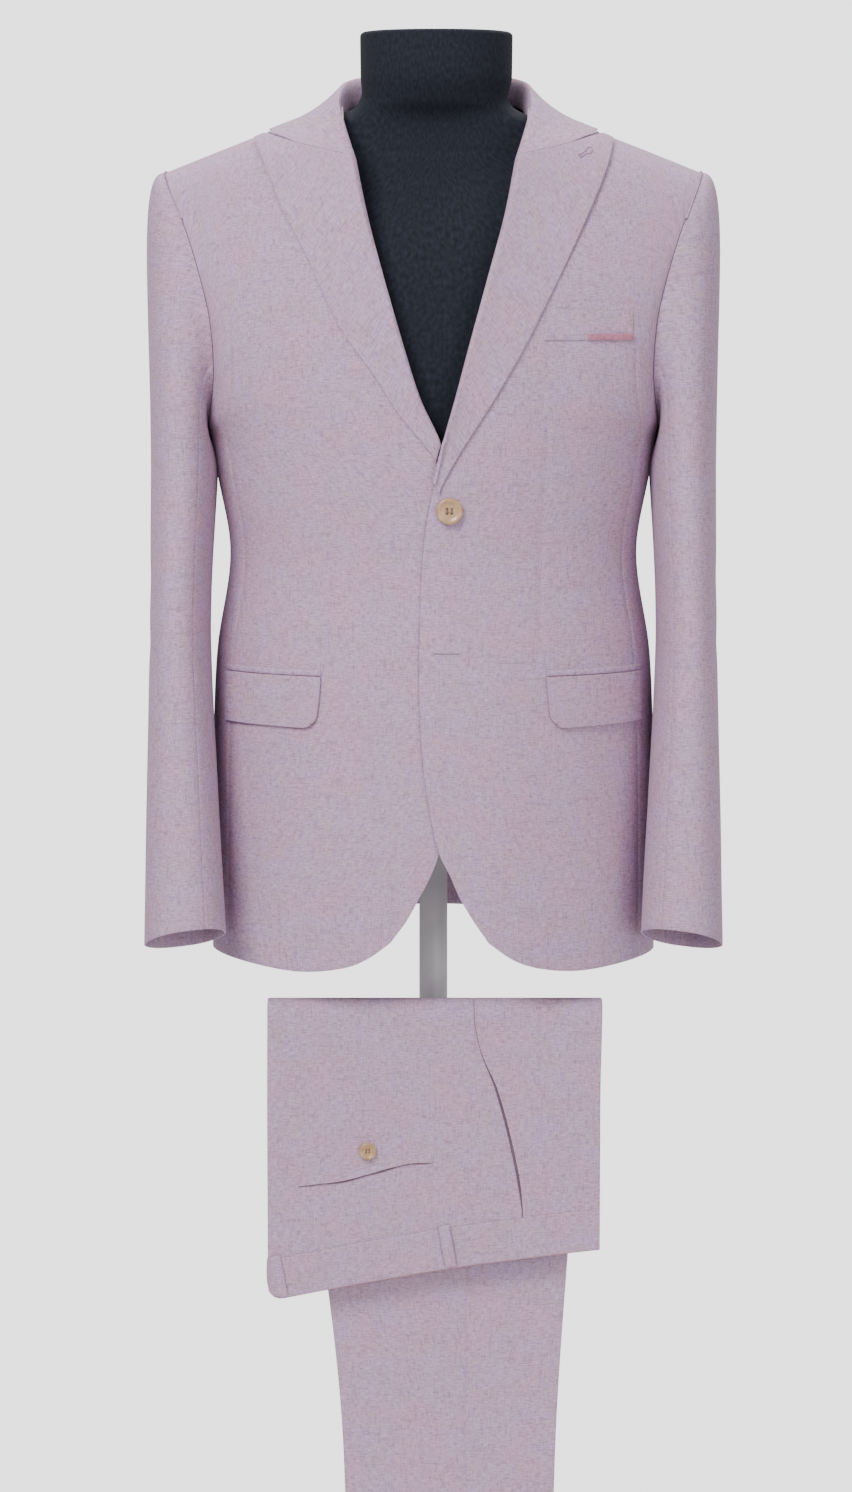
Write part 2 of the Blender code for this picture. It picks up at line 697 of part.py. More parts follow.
def drape(x, s, depth):
    """A point of the folded trousers: s runs from the fold, less than 0 in front of the rail and
    more behind it; depth is the distance from the rail's skin."""
    middle = RAIL_RADIUS + STACK / 2
    radius = RAIL_RADIUS + depth
    quarter = math.pi / 2 * middle
    if abs(s) < quarter:
        turn = s / middle
        return Vector((x, RAIL_Y + radius * math.sin(turn), RAIL_Z + radius * math.cos(turn)))
    return Vector((x, RAIL_Y + math.copysign(radius, s), RAIL_Z - (abs(s) - quarter)))


def waist_s(x, less=0.0):
    """Where the waistband's free edge lies, along the cloth, at a place across."""
    t = (x - WAIST_LEFT[0]) / (WAIST_RIGHT[0] - WAIST_LEFT[0])
    bow = 0.0040 * math.sin(math.pi * min(max(t, 0.0), 1.0))
    return -(WAIST_LEFT[1] + (WAIST_RIGHT[1] - WAIST_LEFT[1]) * t - bow - less)


def leg_edge(s, right):
    if s <= 0:
        top = LEG_TABLE[0][2 if right else 1]
        waist = (WAIST_RIGHT if right else WAIST_LEFT)[0]
        return top + (waist - top) * ease(-s / 0.10)
    return smooth(LEG_TABLE, s, 2 if right else 1)


def cloth_stops(start, stop):
    """Places along the trousers: close over the rail, wide apart where the cloth hangs straight."""
    quarter = math.pi / 2 * (RAIL_RADIUS + STACK / 2)
    bend = [quarter * k / 3 for k in range(-3, 4)]
    hang = [0.05 + 0.09 * k for k in range(9)]
    stops = [s for s in (*[-s for s in hang], *bend, *hang) if start + 0.012 < s < stop - 0.012]
    return sorted({start, stop, *stops})


def front_s(s, end):
    """Stretches the part that hangs in front so that it stops at its own end, below the bend."""
    bend = math.pi / 2 * (RAIL_RADIUS + STACK / 2)
    if s >= -bend:
        return s
    return -bend + (s + bend) / (0.19 - bend) * (-end - bend)


def leg_panel(name, depth, left_edge, right_edge, columns, start, stop):
    """A long trouser panel between two edges, which are functions of s."""
    rows = []
    for s in cloth_stops(-0.19, stop):
        row = []
        for j in range(columns + 1):
            along = s
            t = j / columns
            x = left_edge(s) + (right_edge(s) - left_edge(s)) * t
            if s < 0:
                along = front_s(s, start(x))
            x = left_edge(along) + (right_edge(along) - left_edge(along)) * t
            row.append(drape(x, along, depth))
        rows.append(row)
    cloth(name, rows, thickness=LIGHT_CLOTH)


def trousers():
    """Both legs laid on each other and folded over the rail, the waist in front and the legs behind."""
    outer = STACK
    under = RAIL_GAP + LIGHT_CLOTH
    gap = SEAM / 2
    left, right = (lambda s: leg_edge(s, False)), (lambda s: leg_edge(s, True))
    seam = lambda s: smooth(POCKET_LINE, s)
    body_end = lambda x: waist_s(x, BAND_HEIGHT + SEAM)
    leg_panel("trouser_left_back", outer, left, lambda s: seam(s) - gap, 4, body_end, HEM_S)
    leg_panel("trouser_left_front", outer, lambda s: seam(s) + gap, right, 3, body_end, HEM_S)
    side = lambda s: 0.0290
    leg_panel("trouser_right_back", under, left, lambda s: side(s) - gap, 4, body_end, HEM_S)
    leg_panel("trouser_right_front", under, lambda s: side(s) + gap, right, 3, body_end, HEM_S)
    inner = outer - LIGHT_CLOTH - LAYER_GAP
    rows = []
    for s in cloth_stops(-0.19, HEM_S - 0.003):
        row = []
        for j in range(6):
            t = j / 5
            x = left(s) + 0.0015 + (right(s) - left(s) - 0.003) * t
            along = front_s(s, waist_s(x, 0.004))
            x = left(along) + 0.0015 + (right(along) - left(along) - 0.003) * t
            row.append(drape(x, along, inner))
        rows.append(row)
    cloth("trouser_inner_layers", rows, thickness=inner - under - LAYER_GAP)
    waistband(outer)


def band_point(t, height, depth):
    """A point on the waistband: t across from the back edge, height down from its seam."""
    x = WAIST_LEFT[0] + (WAIST_RIGHT[0] - WAIST_LEFT[0]) * t
    return drape(x, waist_s(x, BAND_HEIGHT - height), depth)


def waistband(outer):
    proud = outer + BAND_PROUD
    band = [[band_point(j / 8, BAND_HEIGHT * i / 2, proud) for j in range(9)] for i in (2, 1, 0)]
    cloth("waistband", band, thickness=BAND_THICKNESS)
    loops = (("belt_loop_back", 0.004, 0.045, 0.024), ("belt_loop_side", 0.515, 0.549, 0.024))
    for name, low, high, slant in loops:
        rows = [[band_point(low + (high - low) * j + slant * i / 4, -0.003 + (BAND_HEIGHT + 0.001) * i / 4,
                            proud + LOOP_LIFT) for j in (0, 1)] for i in (4, 3, 2, 1, 0)]
        cloth(name, rows, thickness=LOOP_THICKNESS)
    welt = [[drape(x, s - POCKET_WELT_HEIGHT * k, outer + POCKET_WELT_LIFT) for x, s in POCKET_SLIT]
            for k in (1, 0)]
    cloth("back_pocket_welt", welt, thickness=POCKET_WELT_THICKNESS)


def rounded_route(corners, radius, steps=5):
    """A route through corners, each turned by an arc."""
    route = [Vector(corners[0])]
    for before, here, after in zip(corners, corners[1:], corners[2:]):
        before, here, after = Vector(before), Vector(here), Vector(after)
        a, b = (before - here).normalized(), (after - here).normalized()
        for k in range(steps + 1):
            t = k / steps
            route.append(here + a * radius * (1 - t) ** 2 + b * radius * t**2)
    route.append(Vector(corners[-1]))
    return route


def rail():
    """The trouser rail: one rod, bent down inside the fold, back round the legs and in to the pole."""
    start = POLE_RADIUS + 0.0078
    corners = ((-start, 0, ARM_Z), (ARM_LEFT_X, 0, ARM_Z), (ARM_LEFT_X, RAIL_Y, ARM_Z),
               (ARM_LEFT_X, RAIL_Y, RAIL_Z), (ARM_RIGHT_X, RAIL_Y, RAIL_Z), (ARM_RIGHT_X, RAIL_Y, ARM_Z),
               (ARM_RIGHT_X, 0, ARM_Z), (start, 0, ARM_Z))
    curve = bpy.data.curves.new("trouser_rail", "CURVE")
    curve.dimensions = "3D"
    curve.bevel_depth = RAIL_RADIUS
    curve.bevel_resolution = 2
    curve.use_fill_caps = True
    route = rounded_route(corners, 0.022)
    line = curve.splines.new("POLY")
    line.points.add(len(route) - 1)
    for point, place in zip(line.points, route):
        point.co = (*place, 1)
    add_object("trouser_rail", curve, "stand")


def turned(name, profile, slot, steps=28):
    """A turned solid from a profile of radius and height, top to bottom."""
    mesh = bpy.data.meshes.new(name)
    mesh.from_pydata([(r, 0, z) for r, z in profile], [(i, i + 1) for i in range(len(profile) - 1)], [])
    made = add_object(name, mesh, slot)
    turn = made.modifiers.new("turn", "SCREW")
    turn.steps = turn.render_steps = steps
    turn.use_merge_vertices = True
    turn.merge_threshold = 0.00005
    return made


def stand():
    base_top = 0.014
    turned("stand_base", ((0, base_top), (0.030, base_top), (BASE_RADIUS - 0.012, 0.010),
                          (BASE_RADIUS - 0.002, 0.007), (BASE_RADIUS, 0.004), (BASE_RADIUS, 0.0), (0, 0)),
           "stand", 48)
    top = FORM_FOOT_Z - 0.0003
    foot = base_top + 0.0003
    clamp = POLE_RADIUS + 0.0075
    turned("stand_pole", ((0, top), (0.045, top), (0.045, top - 0.008), (POLE_RADIUS, top - 0.016),
                          (POLE_RADIUS, ARM_Z + 0.020), (clamp, ARM_Z + 0.017), (clamp, ARM_Z - 0.017),
                          (POLE_RADIUS, ARM_Z - 0.020), (POLE_RADIUS, foot + 0.030), (0.026, foot + 0.012),
                          (0.030, foot), (0, foot)), "stand", 24)


def dress_form():
    """The limbless form: rounded sections from a flat foot to a flat-topped neck."""
    rows = []
    for z, half, front, back in FORM_TABLE:
        row = []
        for j in range(28):
            turn = 2 * math.pi * j / 28
            c, s = math.cos(turn), math.sin(turn)
            depth = back if s > 0 else front
            shift = 0.0025 * ease((z - 1.596) / 0.034)
            row.append((shift + half * math.copysign(abs(c) ** 0.92, c), depth * math.copysign(abs(s) ** 0.92, s), z))
        rows.append(row)
    loft("dress_form", rows, "form", closed=True, caps=True)


BUTTON_AT = (0.0135, 1.2585)
BUTTON_RADIUS = 0.0115
BUTTON_THICKNESS = 0.0036
BUTTON_STAND_OFF = 0.0011
POCKET_BUTTON_AT = (-0.0575, -0.1360)
POCKET_BUTTON_RADIUS = 0.0077
POCKET_BUTTON_THICKNESS = 0.0028
POCKET_BUTTON_STAND_OFF = 0.0006


def buttons():
    x, z = BUTTON_AT
    seat = front_at(x, z).y - lap_lift(x)
    button("front_button", (x, seat - BUTTON_STAND_OFF, z), (0, -1, 0.03), BUTTON_RADIUS, BUTTON_THICKNESS)
    where = drape(*POCKET_BUTTON_AT, STACK) - Vector((0, POCKET_BUTTON_STAND_OFF, 0))
    button("back_pocket_button", where, (0, -1, 0), POCKET_BUTTON_RADIUS, POCKET_BUTTON_THICKNESS)


for stale in list(bpy.data.objects):
    bpy.data.objects.remove(stale)
PARTS = bpy.data.collections.new("suit")
bpy.context.scene.collection.children.link(PARTS)

for is_left in (True, False):
    front_panel(is_left)
    back_panel(is_left)
    lapel(is_left)
collar()
sleeves()
pockets()
trousers()
buttons()
dress_form()
stand()
rail()
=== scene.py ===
# %% [markdown]
# # A two-piece suit on a display stand
# A jacket with peak lapels is worn by a form without arms, and its trousers are folded over a rail below
# it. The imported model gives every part's true size and place. This lesson dresses that frame in cloth,
# horn and thread: each cell makes one thing, from the same numbers as the solid model, and prints what it
# made.

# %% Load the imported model
import math

import bmesh
import bpy
import numpy as np
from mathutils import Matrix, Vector, noise


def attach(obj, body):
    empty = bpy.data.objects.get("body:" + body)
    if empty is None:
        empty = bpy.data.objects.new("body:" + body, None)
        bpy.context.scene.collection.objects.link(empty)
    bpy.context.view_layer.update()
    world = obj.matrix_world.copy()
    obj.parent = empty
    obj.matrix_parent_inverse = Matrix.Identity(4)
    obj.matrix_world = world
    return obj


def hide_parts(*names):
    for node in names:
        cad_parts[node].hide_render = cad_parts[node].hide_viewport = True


def into_scene(name, data):
    """A new object with its data, linked into the scene."""
    made = bpy.data.objects.new(name, data)
    bpy.context.collection.objects.link(made)
    return made


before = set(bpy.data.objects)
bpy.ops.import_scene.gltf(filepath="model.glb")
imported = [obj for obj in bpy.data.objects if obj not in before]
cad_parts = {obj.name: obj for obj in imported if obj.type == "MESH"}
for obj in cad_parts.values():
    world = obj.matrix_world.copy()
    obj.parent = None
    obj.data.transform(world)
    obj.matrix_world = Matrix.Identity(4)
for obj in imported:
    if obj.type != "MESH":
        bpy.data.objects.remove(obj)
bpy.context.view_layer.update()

# %% [markdown]
# ## The camera
# A catalogue picture of a suit is taken from far away with a long lens, so that the jacket isn't
# distorted. The camera could be placed by eye, but here it comes from measurements: it looks 6.5 degrees
# down at a point in front of the waist, and the picture is 1.283 m high there. Lens = half the sensor /
# half the view's slope.

# %% Camera
AIM = Vector((-0.0065, -0.11, 1.056))
CAMERA_DISTANCE = 3.5
CAMERA_DOWN = math.radians(6.5)
PICTURE_HEIGHT = 1.283

eye = bpy.data.cameras.new("picture_camera")
eye.sensor_fit = "VERTICAL"
eye.sensor_height = 24.0
eye.lens = eye.sensor_height * CAMERA_DISTANCE / PICTURE_HEIGHT
camera = into_scene("picture_camera", eye)
camera.location = AIM + CAMERA_DISTANCE * Vector((0, -math.cos(CAMERA_DOWN), math.sin(CAMERA_DOWN)))
camera.rotation_euler = (math.pi / 2 - CAMERA_DOWN, 0, 0)
bpy.context.scene.camera = camera
print("camera: lens", round(eye.lens, 1), "mm, at", [round(v, 3) for v in camera.location])

# %% [markdown]
# ## The studio
# The suit stands on a round sheet of pale studio board. A wall behind it would hide the back from anyone
# who walks round, so there is none: the air itself is pale, and the board ends just below what the
# picture shows.

# %% Studio floor
def link_mesh(name, points, faces, smooth=True):
    """A new object from points and faces."""
    mesh = bpy.data.meshes.new(name)
    mesh.from_pydata([tuple(p) for p in points], [], faces)
    if smooth:
        mesh.shade_smooth()
    made = into_scene(name, mesh)
    return made


def grid_faces(rows, columns, closed=False):
    """Quads between the neighbours of a grid of points; closed joins each row's ends."""
    faces = []
    for i in range(rows - 1):
        for j in range(columns if closed else columns - 1):
            k = (j + 1) % columns
            faces.append((i * columns + j, i * columns + k, (i + 1) * columns + k, (i + 1) * columns + j))
    return faces


FLOOR_RADIUS = 1.15
FLOOR_STEPS = 128
floor_rings = []
for radius in (0.02, 0.3, 0.7, FLOOR_RADIUS - 0.01, FLOOR_RADIUS):
    drop = 0.003 if radius == FLOOR_RADIUS else 0.0
    for k in range(FLOOR_STEPS):
        turn = 2 * math.pi * k / FLOOR_STEPS
        floor_rings.append((radius * math.cos(turn), radius * math.sin(turn), -drop))
floor_faces = [tuple(reversed(face)) for face in grid_faces(5, FLOOR_STEPS, closed=True)]
floor_faces.append(tuple(range(FLOOR_STEPS)))
floor_board = link_mesh("studio_floor", floor_rings, floor_faces)
print("studio floor:", 2 * FLOOR_RADIUS, "m across")

# %% [markdown]
# ## The light
# Even light keeps a pale cloth readable: a wide soft box high on the left, a weaker one on the right, one
# high behind for the shoulders and the back, and a pale world that fills every shadow. In front the first
# box does most, so that lapels, flaps and the waistband each throw a soft shadow down and to the right.
# The world lights the cloth gently but looks brighter itself, so it has two strengths: one for light, one
# for sight.

# %% Soft boxes and world
def soft_box(name, place, target, width, height, watts):
    lamp = bpy.data.lights.new(name, "AREA")
    lamp.shape = "RECTANGLE"
    lamp.size = width
    lamp.size_y = height
    lamp.energy = watts
    made = into_scene(name, lamp)
    made.location = place
    made.rotation_euler = (Vector(target) - Vector(place)).to_track_quat("-Z", "Y").to_euler()
    return made


soft_box("key_box", (-1.4, -2.4, 3.3), (0, 0, 0.95), 1.4, 1.4, 139)
soft_box("fill_box", (1.6, -3.0, 1.2), (0, 0, 0.9), 1.6, 2.2, 45)
soft_box("back_box", (0.3, 1.6, 4.2), (0, 0.4, 0.9), 3.2, 1.0, 150)

world = bpy.data.worlds.new("studio_air")
world.use_nodes = True
air = world.node_tree
light_air = air.nodes["Background"]
light_air.inputs["Color"].default_value = (1.0, 1.0, 1.0, 1)
light_air.inputs["Strength"].default_value = 0.56
seen_air = air.nodes.new("ShaderNodeBackground")
seen_air.inputs["Color"].default_value = (1.0, 1.0, 1.0, 1)
seen_air.inputs["Strength"].default_value = 2.50
ray = air.nodes.new("ShaderNodeLightPath")
choice = air.nodes.new("ShaderNodeMixShader")
air.links.new(ray.outputs["Is Camera Ray"], choice.inputs[0])
air.links.new(light_air.outputs[0], choice.inputs[1])
air.links.new(seen_air.outputs[0], choice.inputs[2])
air.links.new(choice.outputs[0], air.nodes["World Output"].inputs["Surface"])
bpy.context.scene.world = world
print("lights: 3 soft boxes and a pale world")

# %% [markdown]
# ## Building a finish from nodes
# Every finish below is a Principled shader with noise feeding its colour, roughness and bump. An image of
# the cloth would repeat and blur close up. Noise that is stretched along one direction looks like a thick
# place in a yarn, so most of the cloth comes from one helper that says how many features fit in a metre
# each way.

# %% Helpers for finishes
def colour_of(red, green, blue):
    """A picture's 0 to 255 colour as the linear colour that a shader takes."""
    def linear(value):
        value /= 255
        return value / 12.92 if value <= 0.04045 else ((value + 0.055) / 1.055) ** 2.4
    return (linear(red), linear(green), linear(blue), 1.0)


def finish(name, colour, roughness, sockets=None):
    """A material and its shader; sockets holds the numbers that are the same all over."""
    made = bpy.data.materials.new(name)
    made.use_nodes = True
    shader = made.node_tree.nodes["Principled BSDF"]
    shader.inputs["Base Color"].default_value = colour
    shader.inputs["Roughness"].default_value = roughness
    for socket, value in (sockets or {}).items():
        shader.inputs[socket].default_value = value
    return made, made.node_tree, shader


def add_node(tree, kind, values=None, **inputs):
    """A node with its settings, and its inputs by name: a link where the value is a socket."""
    made = tree.nodes.new(kind)
    for setting, value in (values or {}).items():
        setattr(made, setting, value)
    for socket, value in inputs.items():
        by_number = socket[1:].isdigit()
        socket = made.inputs[int(socket[1:]) if by_number else socket.replace("_", " ")]
        if isinstance(value, bpy.types.NodeSocket):
            tree.links.new(value, socket)
        else:
            socket.default_value = value
    return made


print("finish: a Principled shader")

# %% Coordinates, noise and bump for a finish
def grain_of(tree):
    """The cloth's own directions: metres across the piece and metres along it."""
    return add_node(tree, "ShaderNodeUVMap", {"uv_map": "grain"}).outputs["UV"]


def place_of(tree):
    """A place on a hard object, in metres."""
    return add_node(tree, "ShaderNodeTexCoord").outputs["Object"]


def streaks(tree, where, across, along, depth=1.0, detail=2.0, offset=0.0):
    """Noise with so many features in a metre, across and along."""
    stretched = add_node(tree, "ShaderNodeMapping", Vector=where, Scale=(across, along, depth),
                         Location=(offset, offset * 1.7, offset * 0.6))
    return add_node(tree, "ShaderNodeTexNoise", Vector=stretched.outputs["Vector"], Scale=1.0,
                    Detail=detail, Roughness=0.55).outputs["Fac"]


def spread(tree, value, low, high, to_low=0.0, to_high=1.0):
    """Stretches the part of a value between low and high."""
    made = add_node(tree, "ShaderNodeMapRange", Value=value, From_Min=low, From_Max=high,
                    To_Min=to_low, To_Max=to_high)
    return made.outputs["Result"]


def between(tree, factor, first, second):
    """A colour that goes from the first to the second by a factor."""
    made = add_node(tree, "ShaderNodeMix", {"data_type": "RGBA"}, _0=factor, _6=first, _7=second)
    return made.outputs[2]


def combine(tree, how, first, second):
    """Two values added, multiplied or compared."""
    return add_node(tree, "ShaderNodeMath", {"operation": how}, _0=first, _1=second).outputs["Value"]


def raise_by(tree, shader, height, strength, distance):
    """Lets a height shade the surface as if it were raised."""
    bump = add_node(tree, "ShaderNodeBump", Height=height, Strength=strength, Distance=distance)
    tree.links.new(bump.outputs["Normal"], shader.inputs["Normal"])


print("finish helpers: ready")

# %% [markdown]
# ## The suiting
# The real cloth is a melange: the yarn is spun from lilac, rose and undyed grey fibre, uneven on purpose,
# so thick places show as short dashes along the weft and the warp. It is laid in three scales here. Soft
# patches of colour are some 20 mm wide, dashes are 5 mm long and 1 mm high, and single threads only raise
# the surface.

# %% Suiting cloth
LILAC = colour_of(180, 153, 188)
ROSE = colour_of(188, 150, 171)
UNDYED = colour_of(180, 154, 170)
DASH = colour_of(138, 108, 134)
PALE_DASH = colour_of(206, 186, 208)


def suiting_cloth(name, shade=1.0, turned=False):
    """The melange cloth; turned swaps warp and weft, and a shade below 1 mixes in dark mauve as painted
    shade.
    """
    made, tree, shader = finish(name, LILAC, 0.88, {"Sheen Weight": 0.06, "Sheen Roughness": 0.5,
                                                     "Specular IOR Level": 0.15})
    grain = grain_of(tree)
    if turned:
        turned = add_node(tree, "ShaderNodeMapping", Vector=grain, Rotation=(0, 0, math.radians(24)))
        grain = turned.outputs["Vector"]
    patches = streaks(tree, grain, 38, 46, detail=3.0)
    warm = streaks(tree, grain, 30, 34, detail=2.0, offset=7.3)
    weft = streaks(tree, grain, 190, 980)
    warp = streaks(tree, grain, 1050, 170, offset=3.1)
    weft_slub = streaks(tree, grain, 55, 420, offset=11.0)
    warp_slub = streaks(tree, grain, 460, 60, offset=17.0)
    colour = between(tree, spread(tree, patches, 0.36, 0.64), LILAC, UNDYED)
    colour = between(tree, spread(tree, warm, 0.44, 0.68, 0.0, 0.70), colour, ROSE)
    colour = between(tree, spread(tree, weft, 0.50, 0.72, 0.0, 0.78), colour, DASH)
    colour = between(tree, spread(tree, warp, 0.50, 0.72, 0.0, 0.72), colour, DASH)
    colour = between(tree, spread(tree, weft_slub, 0.55, 0.75, 0.0, 0.45), colour, DASH)
    colour = between(tree, spread(tree, warp_slub, 0.55, 0.75, 0.0, 0.45), colour, DASH)
    colour = between(tree, spread(tree, weft, 0.42, 0.26, 0.0, 0.5), colour, PALE_DASH)
    # painted shade: a shade below 1 mixes the cloth towards dark mauve, giving a shaded copy of the same
    # suiting
    if shade < 1.0:
        colour = between(tree, 1 - shade, colour, colour_of(70, 52, 66))
    tree.links.new(colour, shader.inputs["Base Color"])
    fine_weft = streaks(tree, grain, 420, 2300, detail=1.0, offset=5.0)
    fine_warp = streaks(tree, grain, 2300, 420, detail=1.0, offset=9.0)
    threads = combine(tree, "ADD", combine(tree, "MAXIMUM", fine_weft, fine_warp),
                      combine(tree, "MAXIMUM", weft, warp))
    raise_by(tree, shader, threads, 0.35, 0.0005)
    tree.links.new(spread(tree, threads, 0.8, 1.4, 0.94, 0.80), shader.inputs["Roughness"])
    return made


suiting = suiting_cloth("suiting_cloth")
suiting_turned = suiting_cloth("suiting_on_the_lapel_grain", turned=True)
print("suiting: patches 22-26 mm, dashes about 5 x 1 mm, threads 0.4 mm")

# %% [markdown]
# ## The lining and the facings
# A jacket is lined with a smooth twill so that it slides on easily. It shows inside the cuffs, the hem's
# opening and the back of the neck. Fine slanted ribs with a satin gloss make it, from one wave texture.

# %% Lining, felt and coral facing
def lining_cloth(name, dark, light, gloss):
    made, tree, shader = finish(name, light, gloss, {"Sheen Weight": 0.1, "Specular IOR Level": 0.45})
    grain = grain_of(tree)
    ribs = add_node(tree, "ShaderNodeTexWave", {"bands_direction": "DIAGONAL"}, Vector=grain,
                    Scale=300.0, Distortion=0.4, Detail=1.0).outputs["Fac"]
    pressed = streaks(tree, grain, 30, 12, detail=3.0)
    colour = between(tree, spread(tree, pressed, 0.35, 0.65), dark, light)
    colour = between(tree, combine(tree, "MULTIPLY", ribs, 0.35), colour, dark)
    tree.links.new(colour, shader.inputs["Base Color"])
    tree.links.new(spread(tree, pressed, 0.3, 0.7, gloss - 0.06, gloss + 0.08), shader.inputs["Roughness"])
    raise_by(tree, shader, ribs, 0.2, 0.0002)
    return made


lining = lining_cloth("mauve_twill_lining", colour_of(112, 88, 106), colour_of(142, 116, 134), 0.42)
facing = lining_cloth("coral_facing", colour_of(190, 128, 124), colour_of(212, 150, 142), 0.6)
# painted shade: this pocketing is darker than the lining so that the slits it fills read as shaded
pocketing_in_painted_shade = lining_cloth("pocketing_with_painted_shade", colour_of(92, 68, 84), colour_of(112, 86, 102), 0.9)
felt = lining_cloth("undercollar_felt", colour_of(128, 110, 124), colour_of(150, 132, 146), 0.85)
print("linings:", lining.name, facing.name, pocketing_in_painted_shade.name, felt.name)

# %% [markdown]
# ## Rose trim, thread and horn
# The small tab is a tighter cloth in dusty rose. The buttons are pale horn: its layers grow as wavy
# bands, dark and light, and the turned face is polished, so bands feed the colour and the roughness stays
# low.

# %% Rose trim, thread and horn
def rose_trim():
    made, tree, shader = finish("dusty_rose_trim", colour_of(164, 104, 124), 0.75, {"Sheen Weight": 0.2})
    grain = grain_of(tree)
    ribs = streaks(tree, grain, 2600, 260, detail=1.0)
    tint = streaks(tree, grain, 300, 240, offset=2.0)
    colour = between(tree, spread(tree, tint, 0.35, 0.65), colour_of(156, 94, 114), colour_of(176, 114, 134))
    tree.links.new(colour, shader.inputs["Base Color"])
    raise_by(tree, shader, ribs, 0.5, 0.0003)
    return made


def sewing_thread(name, colour, light):
    made, tree, shader = finish(name, colour, 0.6, {"Sheen Weight": 0.15})
    twist = add_node(tree, "ShaderNodeTexWave", {"bands_direction": "DIAGONAL"}, Vector=place_of(tree),
                     Scale=900.0, Distortion=0.5).outputs["Fac"]
    tree.links.new(between(tree, twist, colour, light), shader.inputs["Base Color"])
    raise_by(tree, shader, twist, 0.4, 0.0002)
    return made


def polished_horn():
    made, tree, shader = finish("polished_horn", colour_of(178, 144, 108), 0.3,
                                {"Coat Weight": 0.25, "Coat Roughness": 0.2})
    where = place_of(tree)
    layers = streaks(tree, where, 160, 900, 60, detail=3.0)
    clouds = streaks(tree, where, 130, 130, 130, detail=2.0, offset=4.0)
    colour = between(tree, spread(tree, clouds, 0.35, 0.65),
                     colour_of(186, 152, 116), colour_of(160, 124, 88))
    colour = between(tree, spread(tree, layers, 0.52, 0.72, 0.0, 0.6), colour, colour_of(128, 94, 64))
    tree.links.new(colour, shader.inputs["Base Color"])
    tree.links.new(spread(tree, layers, 0.3, 0.7, 0.26, 0.4), shader.inputs["Roughness"])
    raise_by(tree, shader, layers, 0.12, 0.0002)
    return made


trim = rose_trim()
mauve_thread = sewing_thread("mauve_buttonhole_thread", colour_of(104, 72, 98), colour_of(140, 104, 132))
lilac_thread = sewing_thread("lilac_thread", colour_of(168, 152, 170), colour_of(196, 182, 198))
brown_thread = sewing_thread("brown_button_thread", colour_of(92, 66, 58), colour_of(124, 94, 82))
horn = polished_horn()
print("trim:", trim.name, "| threads: 3 |", horn.name)

# %% [markdown]
# ## The form and the stand
# The form is covered in a navy jersey: a fine rib knit, brushed a little, that drinks light. The stand is
# powder-coated steel, pale grey, with the fine orange-peel that such paint has and a slight sheen on edges.

# %% Jersey and painted steel
def navy_jersey():
    made, tree, shader = finish("navy_jersey", colour_of(26, 28, 37), 0.85,
                                {"Sheen Weight": 0.02, "Specular IOR Level": 0.15})
    grain = grain_of(tree)
    ribs = add_node(tree, "ShaderNodeTexWave", {"bands_direction": "X"}, Vector=grain,
                    Scale=160.0, Distortion=1.2, Detail=2.0, Detail_Scale=3.0).outputs["Fac"]
    fluff = streaks(tree, grain, 240, 200, detail=3.0)
    colour = between(tree, spread(tree, fluff, 0.35, 0.7), colour_of(22, 24, 32), colour_of(34, 37, 48))
    tree.links.new(colour, shader.inputs["Base Color"])
    raise_by(tree, shader, combine(tree, "ADD", ribs, fluff), 0.35, 0.0004)
    return made


def painted_steel():
    made, tree, shader = finish("pale_painted_steel", colour_of(214, 214, 216), 0.42,
                                {"Metallic": 0.0, "Coat Weight": 0.1, "Coat Roughness": 0.35})
    where = place_of(tree)
    peel = streaks(tree, where, 420, 420, 420, detail=2.0)
    dust = streaks(tree, where, 30, 30, 30, detail=4.0, offset=6.0)
    colour = between(tree, spread(tree, dust, 0.4, 0.7), colour_of(218, 218, 220), colour_of(206, 206, 209))
    tree.links.new(colour, shader.inputs["Base Color"])
    tree.links.new(spread(tree, dust, 0.3, 0.7, 0.36, 0.5), shader.inputs["Roughness"])
    raise_by(tree, shader, peel, 0.15, 0.0003)
    return made


def studio_board_finish():
    made, tree, shader = finish("studio_board", colour_of(243, 243, 243), 0.95)
    fibre = streaks(tree, place_of(tree), 260, 260, 260, detail=3.0)
    tree.links.new(between(tree, fibre, colour_of(241, 241, 241), colour_of(245, 245, 245)),
                   shader.inputs["Base Color"])
    raise_by(tree, shader, fibre, 0.05, 0.0003)
    return made


jersey = navy_jersey()
steel = painted_steel()
floor_board.data.materials.append(studio_board_finish())
for name in ("stand_base", "stand_pole", "trouser_rail"):
    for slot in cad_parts[name].material_slots:
        slot.material = steel
print("form:", jersey.name, "| stand:", steel.name)

# %% [markdown]
# ## The jacket's shape in numbers
# A jacket is cut flat and pressed to a body's shape. Sculpting it would lose the sizes, so it is read
# from tables instead: a few heights with a half width and two depths, joined by a smooth curve. Below the
# armhole a section is a rounded oval, and above it the sections close up towards the shoulder seam.

# %% Tables of the jacket's body
ARMHOLE_Z = 1.325
TIP_X = 0.2340
TIP_Z = 1.5515
SHOULDER_SLOPE = 0.420
NECK_ROUNDING = 0.070
SHOULDER_Y = 0.004
SIDE_HEM_Z = 0.866
BACK_HEM_Z = 0.884
SECTION_POWER = 2.05
YOKE_POWER = 2.4
ARMHOLE_FRONT = 0.078
ARMHOLE_BACK = 0.074
NECK_HALF = 0.088
NECK_BACK_Y = 0.0775
OVERLAP_LIFT = 0.0031
CLOTH = 0.0020

